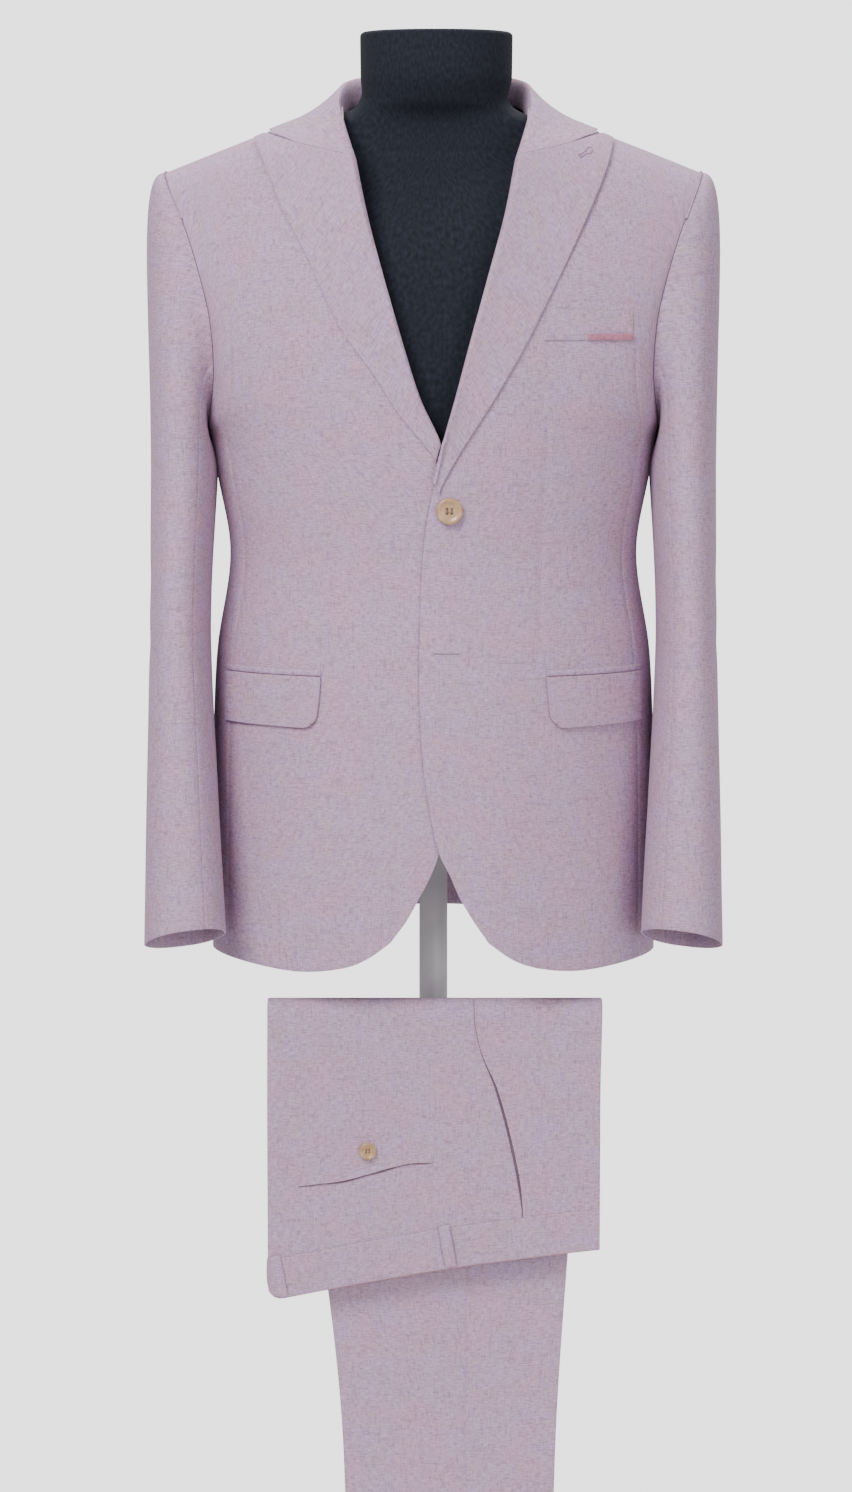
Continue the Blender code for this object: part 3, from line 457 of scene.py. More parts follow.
# height, half width, front depth, back depth of the jacket's body
BODY_TABLE = (
    (0.860, 0.1965, 0.1290, 0.1220),
    (0.950, 0.1960, 0.1290, 0.1180),
    (1.040, 0.1950, 0.1270, 0.1120),
    (1.130, 0.1910, 0.1230, 0.1020),
    (1.216, 0.1790, 0.1180, 0.0920),
    (1.285, 0.1900, 0.1230, 0.1010),
    (1.325, 0.1975, 0.1240, 0.1050),
)

# height, inner edge of the left front, inner edge of the right front (the left one laps over)
FRONT_EDGE = (
    (0.887, 0.0477, -0.0374),
    (0.907, 0.0340, -0.0228),
    (0.928, 0.0219, -0.0116),
    (0.946, 0.0142, -0.0022),
    (0.9655, 0.0047, 0.0047),
    (1.001, -0.0030, 0.0125),
    (1.044, -0.0090, 0.0185),
    (1.100, -0.0120, 0.0210),
    (1.160, -0.0116, 0.0210),
    (1.229, -0.0082, 0.0185),
    (1.272, -0.0013, 0.0116),
    (1.3136, 0.0082, 0.0056),
    (1.354, 0.0195, -0.0125),
    (1.401, 0.0320, -0.0275),
    (1.4615, 0.0486, -0.0450),
    (1.509, 0.0615, -0.0575),
    (1.552, 0.0701, -0.0665),
    (1.586, 0.0761, -0.0725),
    (1.640, 0.0795, -0.0765),
)

# share of the armhole's height, distance of the armhole seam from the centre plane
ARMHOLE_TABLE = (
    (0.00, 0.1975),
    (0.10, 0.1925),
    (0.22, 0.1895),
    (0.39, 0.1918),
    (0.49, 0.1963),
    (0.667, 0.2072),
    (0.824, 0.2190),
    (0.940, 0.2290),
    (1.000, TIP_X),
)

# distance from the front's corner out along the hem, height of the hem there
HEM_TABLE = (
    (0.000, 0.887),
    (0.018, 0.8735),
    (0.036, 0.8650),
    (0.060, 0.8600),
    (0.082, 0.8585),
    (0.110, 0.8605),
    (0.160, SIDE_HEM_Z),
)
print("jacket: hem at", BODY_TABLE[0][0], "m, shoulder tips", 2 * TIP_X, "m apart")

# %% Reading the tables
def smooth(table, at, column=1):
    """A value read from a table's column by a smooth curve through its rows."""
    last = len(table) - 1
    at = min(max(at, table[0][0]), table[last][0])
    i = 0
    while i < last - 1 and at > table[i + 1][0]:
        i += 1
    span = table[i + 1][0] - table[i][0]
    t = (at - table[i][0]) / span

    def slope(j):
        low, high = max(j - 1, 0), min(j + 1, last)
        return (table[high][column] - table[low][column]) / (table[high][0] - table[low][0]) * span

    a, b = table[i][column], table[i + 1][column]
    return ((2 * t**3 - 3 * t**2 + 1) * a + (t**3 - 2 * t**2 + t) * slope(i)
            + (3 * t**2 - 2 * t**3) * b + (t**3 - t**2) * slope(i + 1))


def ease(t):
    """0 to 1 with soft ends."""
    t = min(max(t, 0.0), 1.0)
    return t * t * (3 - 2 * t)


def shoulder_z(x):
    return TIP_Z + SHOULDER_SLOPE * (TIP_X - math.hypot(x, NECK_ROUNDING))


def shoulder_y(x, back):
    """The shoulder seam's y; on the back it dips round the neck."""
    if not back or abs(x) > NECK_HALF:
        return SHOULDER_Y
    return SHOULDER_Y + (NECK_BACK_Y - SHOULDER_Y) * math.sqrt(1 - (x / NECK_HALF) ** 2)


def armhole_y(share, back):
    """The armhole ring's y at a share of its height."""
    reach = ARMHOLE_BACK if back else -ARMHOLE_FRONT
    return SHOULDER_Y * share + reach * math.sqrt(max(0.0, 1 - (2 * share - 1) ** 2))


def armhole_x(share):
    return smooth(ARMHOLE_TABLE, share)


print("waist half width:", round(smooth(BODY_TABLE, 1.216), 4),
      "| shoulder at the neck:", round(shoulder_z(0.08), 4))


def cut_y(x, z, back=False):
    """The body's y at a place seen from the front or the back, as the tables give it."""
    side = 1 if back else -1
    if z <= ARMHOLE_Z:
        share = min(abs(x) / smooth(BODY_TABLE, z, 1), 1.0)
        deep = smooth(BODY_TABLE, z, 3 if back else 2)
        return side * deep * (1 - share**SECTION_POWER) ** (1 / SECTION_POWER)
    share = min((z - ARMHOLE_Z) / (shoulder_z(x) - ARMHOLE_Z), 1.0)
    bow = (1 - share**YOKE_POWER) ** (1 / YOKE_POWER)
    ridge = shoulder_y(x, back)
    middle = ridge + (side * BODY_TABLE[-1][3 if back else 2] - ridge) * bow
    s = min(abs(x) / armhole_x(share), 1.0)
    power = 1 / SECTION_POWER + (0.85 - 1 / SECTION_POWER) * share
    edge = armhole_y(share, back)
    return edge + (middle - edge) * max(0.0, 1 - s**SECTION_POWER) ** power


# %% [markdown]
# ## How soft cloth departs from the cut
# Pressed wool still breathes: it sinks a millimetre between the chest and the waist, and pulls in faint
# lines towards a closed button. A cloth simulation would blur the pressed edges, so a small sink is added
# to the shape itself. The two halves of the cut shape meet in a ledge at the armhole's foot, which a
# pressed canvas rounds off, so there each depth is an average over a few centimetres of height. Every
# layer on the front is laid over the same surface, so the layers never cross.

# %% Soft sink of the cloth
CHEST_ROUNDING = 0.044
BUTTON_AT = (0.0135, 1.2585)
SINK = 0.0010
PULL = 0.0007


def soft_y(x, z, back=False):
    """The body's y with the ledge at the armhole's foot rounded off, more so away from the armhole itself."""
    if z > ARMHOLE_Z:
        half = armhole_x((z - ARMHOLE_Z) / (shoulder_z(x) - ARMHOLE_Z))
    else:
        half = smooth(BODY_TABLE, z, 1)
    near = ease((2.3 * CHEST_ROUNDING - abs(z - ARMHOLE_Z)) / CHEST_ROUNDING)
    reach = CHEST_ROUNDING * near * ease((half - abs(x)) / 0.040)
    if reach < 0.0005:
        return cut_y(x, z, back)
    parts = [(4 - abs(k)) * cut_y(x, z + reach * k / 3.5, back) for k in range(-3, 4)]
    return sum(parts) / 16


def soft_sink(x, z, back=False):
    """How far the cloth lies in from its cut shape at a place seen from the front or the back."""
    fade = ease((1.47 - z) / 0.10) * ease((0.178 - abs(x)) / 0.05)
    seed = 9.0 if back else 2.0
    wave = noise.noise(Vector((x * 11.0, z * 5.5, seed)))
    wave += 0.5 * noise.noise(Vector((x * 21.0, z * 9.0, seed + 5)))
    sink = SINK * wave * fade
    if not back:
        dx, dz = x - BUTTON_AT[0], z - BUTTON_AT[1]
        far = math.hypot(dx, dz)
        rays = math.sin(7.0 * math.atan2(dz, abs(dx) + 0.02) + 0.8)
        sink += PULL * rays * ease(far / 0.03) * math.exp(-far / 0.060) * ease((0.178 - abs(x)) / 0.05)
    return sink


print("depth at the chest:", round(soft_y(0.1, 1.40), 4), "m")

# %% Points on the jacket's surface
def lower_point(angle, z, back=False):
    """Body surface below the armhole: angle 0 is the centre, 90 the left side and -90 the right one."""
    reach = abs(math.sin(math.radians(angle))) ** (2 / SECTION_POWER)
    fall = abs(math.cos(math.radians(angle))) ** (2 / SECTION_POWER)
    x = math.copysign(smooth(BODY_TABLE, z, 1) * reach, angle)
    sink = soft_sink(x, z, back) * fall
    y = soft_y(x, z, back)
    return Vector((x, y - sink if back else y + sink, z))


def upper_point(x, share, back=False):
    """Body surface above the armhole's foot: share 0 is that foot and 1 the shoulder seam."""
    share = min(max(share, 0.0), 1.0)
    z = ARMHOLE_Z + (shoulder_z(x) - ARMHOLE_Z) * share
    y = soft_y(x, z, back)
    sink = soft_sink(x, z, back) * ease((armhole_x(share) - abs(x)) / 0.02)
    return Vector((x, y - sink if back else y + sink, z))


def front_at(x, z):
    """The jacket front's outer surface at a place seen from the front."""
    if z <= ARMHOLE_Z:
        return Vector((x, soft_y(x, z) + soft_sink(x, z), z))
    share = (z - ARMHOLE_Z) / (shoulder_z(x) - ARMHOLE_Z)
    return upper_point(x, min(share, 0.985))


def lifted(x, z, lift):
    """A point on the front, moved out along the surface's normal."""
    step = 0.001
    across = front_at(x + step, z) - front_at(x - step, z)
    up = front_at(x, z) - front_at(x, z - step)
    return front_at(x, z) + across.cross(up).normalized() * lift


def edge_x(z, left):
    return smooth(FRONT_EDGE, z, 1 if left else 2)


def lap_lift(x):
    """How far the left front stands out where it laps over the right one."""
    return OVERLAP_LIFT * (1 - ease((x - 0.045) / 0.070))


print("sink at the waist:", [round(soft_sink(x, 1.2) * 1000, 2) for x in (-0.1, 0.0, 0.1)], "mm")

# %% [markdown]
# ## One way to make every cloth piece
# A cut piece of cloth has a face, a back, a thickness and a turned edge. A grid of points gives the face,
# Solidify adds the back in the lining's material, and a small Bevel rounds the turned edge. A UV layer in
# real metres, measured along the grid, carries the grain, so the weave is the same size on every piece.

# %% Cloth from a grid of points
def cloth_piece(name, rows, cloth, inside=None, thickness=CLOTH, flip=False, closed=False, anchor=0,
                grain=None, facing=None, edge=0.0006, across_start=None, cut_at=(0.0, 0.0),
                above="x"):
    """A piece of cloth over rows of points. anchor is the highest row that still runs level along the weft,
    and above it a place across is read from x, or from the column. cut_at is where on the bolt the piece was
    cut, grain gives metres by row and column instead, and facing says which squares are backed with the same
    cloth."""
    count = len(rows[0])
    wide = count + 1 if closed else count
    u = np.zeros((len(rows), wide))
    v = np.zeros((len(rows), wide))
    points = np.array([[tuple(row[j % count]) for j in range(wide)] for row in rows])
    u[:, 1:] = np.cumsum(np.linalg.norm(np.diff(points, axis=1), axis=2), axis=1)
    if across_start is not None:
        u += np.array([across_start(row) for row in rows])[:, None]
    moved = np.diff(points, axis=0)
    if anchor and above == "x":
        moved[:, :, 0] = 0
    run = np.vstack([np.zeros((1, wide)), np.cumsum(np.linalg.norm(moved, axis=2), axis=0)])
    upward = 1 if points[-1, 0, 2] > points[0, 0, 2] else -1
    v[:] = points[anchor, 0, 2] + upward * (run - run[anchor])
    if anchor:
        level, bent = slice(0, anchor), slice(anchor, None)
        if upward < 0:
            level, bent = slice(anchor, None), slice(0, anchor)
        v[level] = points[level, :, 2]
        if above == "x":
            across = np.abs(points[:, :, 0])
            order = np.argsort(across[anchor])
            u[bent] = np.interp(across[bent], across[anchor][order], u[anchor][order])
            u[bent] += np.maximum(across[bent] - across[anchor].max(), 0)
        else:
            u[bent] = u[anchor]
    u += cut_at[0]
    v += cut_at[1]
    if grain is not None:
        for i in range(len(rows)):
            for j in range(wide):
                u[i, j], v[i, j] = grain(i, j)
    mesh = bpy.data.meshes.new(name)
    faces = grid_faces(len(rows), count, closed)
    if flip:
        faces = [face[::-1] for face in faces]
    mesh.from_pydata([tuple(p) for row in rows for p in row], [], faces)
    layer = mesh.uv_layers.new(name="grain")
    columns = wide - 1
    for f, polygon in enumerate(mesh.polygons):
        i, j = divmod(f, columns)
        corners = [(i, j), (i, j + 1), (i + 1, j + 1), (i + 1, j)]
        if flip:
            corners = corners[::-1]
        for loop, (a, b) in zip(polygon.loop_indices, corners):
            layer.data[loop].uv = (u[a, b], v[a, b])
        if facing is not None and facing(i, j):
            polygon.material_index = 2
    mesh.shade_smooth()
    made = into_scene(name, mesh)
    for part in (cloth, inside or cloth, cloth, cloth):
        made.data.materials.append(part)
    wall = made.modifiers.new("thickness", "SOLIDIFY")
    wall.thickness = thickness
    wall.offset = -1
    wall.use_even_offset = False
    wall.material_offset = 1
    if edge:
        turned = made.modifiers.new("turned_edge", "BEVEL")
        turned.width = edge
        turned.segments = 2
        turned.limit_method = "ANGLE"
        turned.angle_limit = math.radians(50)
    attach(made, "root")
    return made


print("cloth thickness:", CLOTH, "m")

# %% Columns with sewn grooves
def seam_columns(marks, counts, half_width=0.45, depth=0.0004):
    """Column angles from the first mark to the last, with a fine sewn groove at every mark between them."""
    columns = []
    for k, count in enumerate(counts):
        low = marks[k] + (half_width if k else 0.0)
        high = marks[k + 1] - (half_width if k < len(counts) - 1 else 0.0)
        for j in range(count + 1):
            columns.append((low + (high - low) * j / count, 0.0))
        if k < len(counts) - 1:
            columns.append((marks[k + 1], depth))
    return columns


grooves = [column for column in seam_columns((0, 30, 60, 90), (5, 5, 5)) if column[1]]
print("grooves:", len(grooves), "in a piece with two seams")

# %% [markdown]
# ## The fronts
# Each front is one cut piece from the cut-away corner to the shoulder. It could be bent from a plane, but
# a grid that follows the tables gives the exact edge that the button closes. A dart takes in the waist,
# and the seam of the side body runs down from the armhole; both are sewn grooves with a row of points of
# their own.

# %% Fronts
PANEL_SEAM = 0.0002
LOWER_ROWS = 74
UPPER_ROWS = 46
DART_TOP_Z = 1.335
DART_FOOT_Z = 1.122
SIDE_SEAM_DEG = 66
RETREAT = 0.0045


def hem_at_column(left, share):
    """The hem's height at a share of the way from the corner round to the side seam."""
    x_in = abs(FRONT_EDGE[0][1 if left else 2])
    side = BODY_TABLE[0][1]
    start = math.degrees(math.asin((x_in / side) ** (SECTION_POWER / 2)))
    angle = start + (90 - start) * share**0.9
    along = side * math.sin(math.radians(angle)) ** (2 / SECTION_POWER) - x_in
    return smooth(HEM_TABLE, max(along, 0.0))


def draw_back(row, gap):
    """Draws the last point of a row back from the seam."""
    row[-1] = row[-1] + (row[-2] - row[-1]).normalized() * gap


def angle_at(x, half_width):
    """The angle round a section at a distance from the centre plane."""
    return math.degrees(math.asin(math.copysign(min(abs(x / half_width), 1.0) ** (SECTION_POWER / 2), x)))


def groove(p, depth):
    """Sinks a seam's point towards the inside of the body."""
    inward = Vector((-p.x * 0.4, -p.y, 0)).normalized()
    return p + inward * depth


def dart_x(z):
    """The dart leans a little towards the front at its top."""
    return 0.0880 + 0.010 * (z - DART_FOOT_Z) / (DART_TOP_Z - DART_FOOT_Z)


print("dart foot:", round(dart_x(DART_FOOT_Z), 3), "m out")

# %% Cutting the fronts
def jacket_front(left):
    """A front, from the cut-away corner to the shoulder and from the front edge to the side seam."""
    sign = 1 if left else -1
    corner_z = FRONT_EDGE[0][0]
    rows = []
    for i in range(LOWER_ROWS + 1):
        v = i / LOWER_ROWS
        z_in = corner_z + (ARMHOLE_Z - corner_z) * v
        x_in = edge_x(z_in, left)
        if z_in > 1.29:
            x_in += sign * RETREAT * ease((z_in - 1.29) / 0.02)
        half = smooth(BODY_TABLE, z_in, 1)
        start = sign * angle_at(x_in, half)
        marks = (start, angle_at(dart_x(z_in), half), SIDE_SEAM_DEG, 90)
        row = []
        for angle, depth in seam_columns(marks, (14, 12, 12)):
            share = max((angle - start) / (90 - start), 0.0) ** (1 / 0.9)
            level = hem_at_column(left, share)
            z = level + (ARMHOLE_Z - level) * v
            if angle < 60:
                depth *= ease((DART_TOP_Z - z) / 0.03) * ease((z - DART_FOOT_Z) / 0.01)
            row.append(groove(lower_point(sign * angle, z), depth))
        rows.append(row)
    for i in range(1, UPPER_ROWS + 1):
        share = 1 - (1 - i / UPPER_ROWS) ** 1.25
        x = edge_x(ARMHOLE_Z, left)
        for _ in range(6):
            z = ARMHOLE_Z + (shoulder_z(x) - ARMHOLE_Z) * share
            x = edge_x(z, left) + sign * RETREAT
        half = armhole_x(share)
        start = sign * angle_at(x, half)
        marks = (start, angle_at(min(dart_x(ARMHOLE_Z), half * 0.8), half), SIDE_SEAM_DEG, 90)
        row = []
        for angle, depth in seam_columns(marks, (14, 12, 12)):
            depth = depth if angle > 60 else depth * ease((DART_TOP_Z - (ARMHOLE_Z + 0.2 * share)) / 0.03)
            depth *= ease((0.32 - share) / 0.05)
            reach = abs(math.sin(math.radians(angle))) ** (2 / SECTION_POWER)
            row.append(groove(upper_point(sign * half * reach, share), depth))
        rows.append(row)
    for row in rows:
        for p in row:
            if left:
                p.y -= lap_lift(p.x)
        draw_back(row, PANEL_SEAM)
    for p in rows[-1]:
        p.y -= PANEL_SEAM
    name = "front_left" if left else "front_right"
    made = cloth_piece(name, rows, suiting, lining, flip=not left, anchor=LOWER_ROWS,
                       cut_at=(0, 0 if left else 3.3),
                       across_start=lambda row: abs(row[0].x),
                       facing=lambda i, j: j < 13 or i < 10)
    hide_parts("jacket_front_left" if left else "jacket_front_right")
    return made


front_left = jacket_front(True)
front_right = jacket_front(False)
print("fronts:", len(front_left.data.vertices), "points each, hem", round(hem_at_column(True, 0.5), 4), "m")

# %% [markdown]
# ## The back
# Two backs meet in a seam down the middle. Below the collar they are drawn in at the waist, so the seam
# isn't a straight line from the side. The back's own seam to the side body lies opposite to the front's.

# %% Backs
BACK_SIDE_SEAM_DEG = 62


def jacket_back(left):
    """Half the back, from the centre seam to the side seam and armhole."""
    sign = 1 if left else -1
    rows = []
    for i in range(LOWER_ROWS + 1):
        v = i / LOWER_ROWS
        row = []
        for angle, depth in seam_columns((0, BACK_SIDE_SEAM_DEG, 90), (22, 12)):
            share = angle / 90
            level = BACK_HEM_Z + (SIDE_HEM_Z - BACK_HEM_Z) * ease(share)
            z = level + (ARMHOLE_Z - level) * v
            row.append(groove(lower_point(sign * max(angle, 0.0001), z, True), depth))
        rows.append(row)
    for i in range(1, UPPER_ROWS + 1):
        share = 1 - (1 - i / UPPER_ROWS) ** 1.25
        row = []
        for angle, depth in seam_columns((0, BACK_SIDE_SEAM_DEG, 90), (22, 12)):
            depth *= ease((0.36 - share) / 0.05)
            reach = math.sin(math.radians(angle)) ** (2 / SECTION_POWER)
            row.append(groove(upper_point(sign * armhole_x(share) * reach, share, True), depth))
        rows.append(row)
    for row in rows:
        row[0].x = sign * PANEL_SEAM
        draw_back(row, PANEL_SEAM)
    for p in rows[-1]:
        p.y += PANEL_SEAM
    name = "back_left" if left else "back_right"
    made = cloth_piece(name, rows, suiting, lining, flip=left, anchor=LOWER_ROWS,
                       cut_at=(0, 6.1 if left else 9.7),
                       facing=lambda i, j: i < 6)
    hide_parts("jacket_back_left" if left else "jacket_back_right")
    return made


back_left = jacket_back(True)
back_right = jacket_back(False)
print("backs:", len(back_left.data.vertices), "points each")

# %% [markdown]
# ## The lapels
# A lapel is the front's own facing turned over at the roll line. It rolls in a soft bend, not a crease,
# lies on the chest, and ends in a peak that points up to the shoulder. So the grid starts inside the
# roll, comes round it, and runs out to an edge that was measured at eight heights on each side.

# %% Lapels
# share of the roll line, outer edge x, outer edge z of each lapel, from the break to the peak
LAPEL_LEFT = (
    (0.00, 0.0030, 1.2740),
    (0.12, 0.0205, 1.3060),
    (0.28, 0.0489, 1.3504),
    (0.45, 0.0767, 1.3980),
    (0.62, 0.1094, 1.4630),
    (0.78, 0.1300, 1.5070),
    (0.90, 0.1475, 1.5480),
    (1.00, 0.1545, 1.5740),
)
LAPEL_RIGHT = (
    (0.00, 0.0048, 1.3000),
    (0.12, -0.0262, 1.3368),
    (0.28, -0.0500, 1.3730),
    (0.45, -0.0800, 1.4160),
    (0.62, -0.1077, 1.4752),
    (0.78, -0.1270, 1.5114),
    (0.90, -0.1430, 1.5500),
    (1.00, -0.1545, 1.5740),
)
LAPEL_LEFT_BREAK_Z = 1.282
LAPEL_RIGHT_BREAK_Z = 1.3136
ROLL_TOP_Z = 1.5565
NOTCH = (0.1185, 1.5695)
PEAK_TOP = (0.1455, 1.5785)
ROLL_LIFT = 0.0060
LAPEL_LIFT = 0.0024
YOKE_LIFT = 0.0012
LAPEL_CLOTH = 0.0016
LAPEL_ROWS = 90
LAPEL_COLUMNS = 26


def top_edge(q, x_roll, z_roll, notch, peak, tip):
    """The lapel's top edge: along the gorge to the notch, up to the peak, and round its point."""
    stops = ((0.0, x_roll, z_roll), (0.60, *notch), (0.90, *peak), (1.0, *tip))
    for a, b in zip(stops, stops[1:]):
        if q <= b[0]:
            t = (q - a[0]) / (b[0] - a[0])
            return a[1] + (b[1] - a[1]) * t, a[2] + (b[2] - a[2]) * t
    return tip


def roll_points(r, left, width):
    """The lapel's bend at a share of the roll line, from its tucked foot inside to its face."""
    sign = 1 if left else -1
    low_z = LAPEL_LEFT_BREAK_Z if left else LAPEL_RIGHT_BREAK_Z
    z = low_z + (ROLL_TOP_Z - low_z) * r
    x = edge_x(z, left)
    lift = ROLL_LIFT * (0.55 + 0.45 * ease(r / 0.2))
    opened = ease((z - LAPEL_RIGHT_BREAK_Z + 0.002) / 0.030) if left else 1.0
    tuck = min(0.0012 + 0.0080 * ease(2 * opened - 1), width * 0.6)
    rise = lift - (CLOTH + 0.0032 + lift) * ease(2 * opened)
    lean = Vector((-sign * 0.0014, 0, 0))
    forward = Vector((0, -lap_lift(x) if left else 0.0, 0))
    bend = [lifted(x + sign * tuck, z, rise), lifted(x + sign * tuck * 0.3, z, rise * 0.92),
            lifted(x, z, rise * 0.35) + lean, lifted(x, z, lift * 0.60) + lean]
    points = []
    for a, b in zip(bend, bend[1:]):
        points += [a + forward, a.lerp(b, 0.5) + forward]
    return points + [bend[-1] + forward], lift


def lapel_place(q, r, left):
    """x and z on a lapel: q runs from the roll to the edge, r from the break to the top."""
    sign = 1 if left else -1
    low_z = LAPEL_LEFT_BREAK_Z if left else LAPEL_RIGHT_BREAK_Z
    table = LAPEL_LEFT if left else LAPEL_RIGHT
    z_roll = low_z + (ROLL_TOP_Z - low_z) * r
    x_roll = edge_x(z_roll, left)
    z_out = smooth(table, r, 2)
    x_out = x_roll + sign * max(sign * (smooth(table, r, 1) - x_roll), 0.004)
    x = x_roll + (x_out - x_roll) * q
    z = z_roll + (z_out - z_roll) * q
    if r > 0.80:
        notch, peak = (sign * NOTCH[0], NOTCH[1]), (sign * PEAK_TOP[0], PEAK_TOP[1])
        top_x, top_z = top_edge(q, x_roll, z_roll, notch, peak, (x_out, z_out))
        weight = ease((r - 0.80) / 0.20)
        x += (top_x - x) * weight
        z += (top_z - z) * weight
    return x, z


def lapel_face(x, z, q, lift, left):
    """A point on the lapel's face: it stands off most at the roll, and more over the yoke."""
    over = LAPEL_LIFT + (lift - LAPEL_LIFT) * math.exp(-q / 0.20) + YOKE_LIFT * ease((z - 1.465) / 0.055)
    return lifted(x, z, over + (lap_lift(x) if left else 0.0))


print("lapel peak at", [round(v, 3) for v in lapel_place(1.0, 1.0, True)])

# %% Cutting the lapels
def jacket_lapel(left):
    """A lapel: the cloth that rolls over at the break line and lies on the front out to its peak."""
    rows = []
    for i in range(LAPEL_ROWS + 1):
        r = i / LAPEL_ROWS
        width = abs(lapel_place(1.0, r, left)[0] - lapel_place(0.0, r, left)[0])
        row, lift = roll_points(r, left, width)
        for j in range(1, LAPEL_COLUMNS + 1):
            q = (j / LAPEL_COLUMNS) ** 1.15
            row.append(lapel_face(*lapel_place(q, r, left), q, lift, left))
        rows.append(row)
    name = "lapel_cloth_left" if left else "lapel_cloth_right"
    made = cloth_piece(name, rows, suiting_turned, suiting, thickness=LAPEL_CLOTH, flip=not left, edge=0.0006,
                       cut_at=(0, 12.4 if left else 15.2))
    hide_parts("lapel_left" if left else "lapel_right")
    return made


lapel_left = jacket_lapel(True)
lapel_right = jacket_lapel(False)
print("lapels: rolled over", LAPEL_ROWS, "rows, peaks at", PEAK_TOP)

# %% [markdown]
# ## The sleeves
# A tailored sleeve is two pieces, an upper one and a narrow under one, sewn along two seams into a tube
# that hangs a little forward. One closed tube with a groove at each seam gives that look without open
# edges. The head isn't roped: it comes out of the armhole in a round curve, drawn as a Bezier from the
# ring to the arm.

# %% Sleeves
# height, centre x, half width, centre y, half depth of the sleeve
SLEEVE_TABLE = (
    (0.886, 0.2155, 0.0355, -0.096, 0.0490),
    (1.010, 0.2187, 0.0310, -0.068, 0.0600),
    (1.150, 0.2214, 0.0264, -0.034, 0.0720),
    (1.290, 0.2186, 0.0291, -0.006, 0.0800),
)
CUFF_TILT_FRONT = 0.014
CUFF_TILT_SIDE = 0.006
FRONT_SEAM_DEG = 58
BACK_SEAM_DEG = 275
SLEEVE_CLOTH = 0.0013
ARMHOLE_SEAM = 0.0004
HEAD_ROWS = 30
ARM_ROWS = 66
ELBOW_Z = 1.165


def armhole_ring(degrees, side):
    """A point on the armhole: 0 is its foot, 90 its front, 180 the shoulder tip, 270 its back."""
    share = (1 - math.cos(math.radians(degrees))) / 2
    x = armhole_x(share)
    z = ARMHOLE_Z + (shoulder_z(x) - ARMHOLE_Z) * share
    return Vector((side * x, armhole_y(share, degrees > 180), z))


def sleeve_ring(degrees, z, side, tilt=0.0):
    """A point on the hanging sleeve at a height: 0 is next to the body, 90 the front, 180 outside."""
    c, s = math.cos(math.radians(degrees)), math.sin(math.radians(degrees))
    x = smooth(SLEEVE_TABLE, z, 1) - smooth(SLEEVE_TABLE, z, 2) * math.copysign(abs(c) ** 0.9, c)
    y = smooth(SLEEVE_TABLE, z, 3) - smooth(SLEEVE_TABLE, z, 4) * math.copysign(abs(s) ** 0.95, s)
    return Vector((side * x, y, z + tilt * (CUFF_TILT_FRONT * s + CUFF_TILT_SIDE * c)))


def sleeve_sink(p, side):
    """Soft folds: two shallow ones at the elbow's inner bend, and slow waves along the arm."""
    fade = ease((1.40 - p.z) / 0.08) * ease((p.z - 0.90) / 0.04)
    wave = 0.0006 * noise.noise(Vector((p.x * 14 + side * 3, p.y * 14, p.z * 7)))
    bend = 0.0
    for z, reach in ((ELBOW_Z + 0.030, 0.016), (ELBOW_Z - 0.022, 0.013)):
        slant = z + 0.25 * (p.y + 0.04)
        bend += 0.0009 * math.exp(-((p.z - slant) / reach) ** 2) * ease((-p.y - 0.01) / 0.05)
    return (wave + bend) * fade


def tucked(row, shrink, side, inward):
    """The sleeve's head carried on inside the armhole: the same ring, closer to its middle."""
    middle = sum(row, Vector()) / len(row)
    made = []
    for p in row:
        away = Vector((0, p.y - middle.y, p.z - middle.z))
        made.append(p - away.normalized() * shrink - Vector((side * inward, 0, 0)))
    return made


print("shoulder tip at", [round(v, 3) for v in armhole_ring(180, 1)])

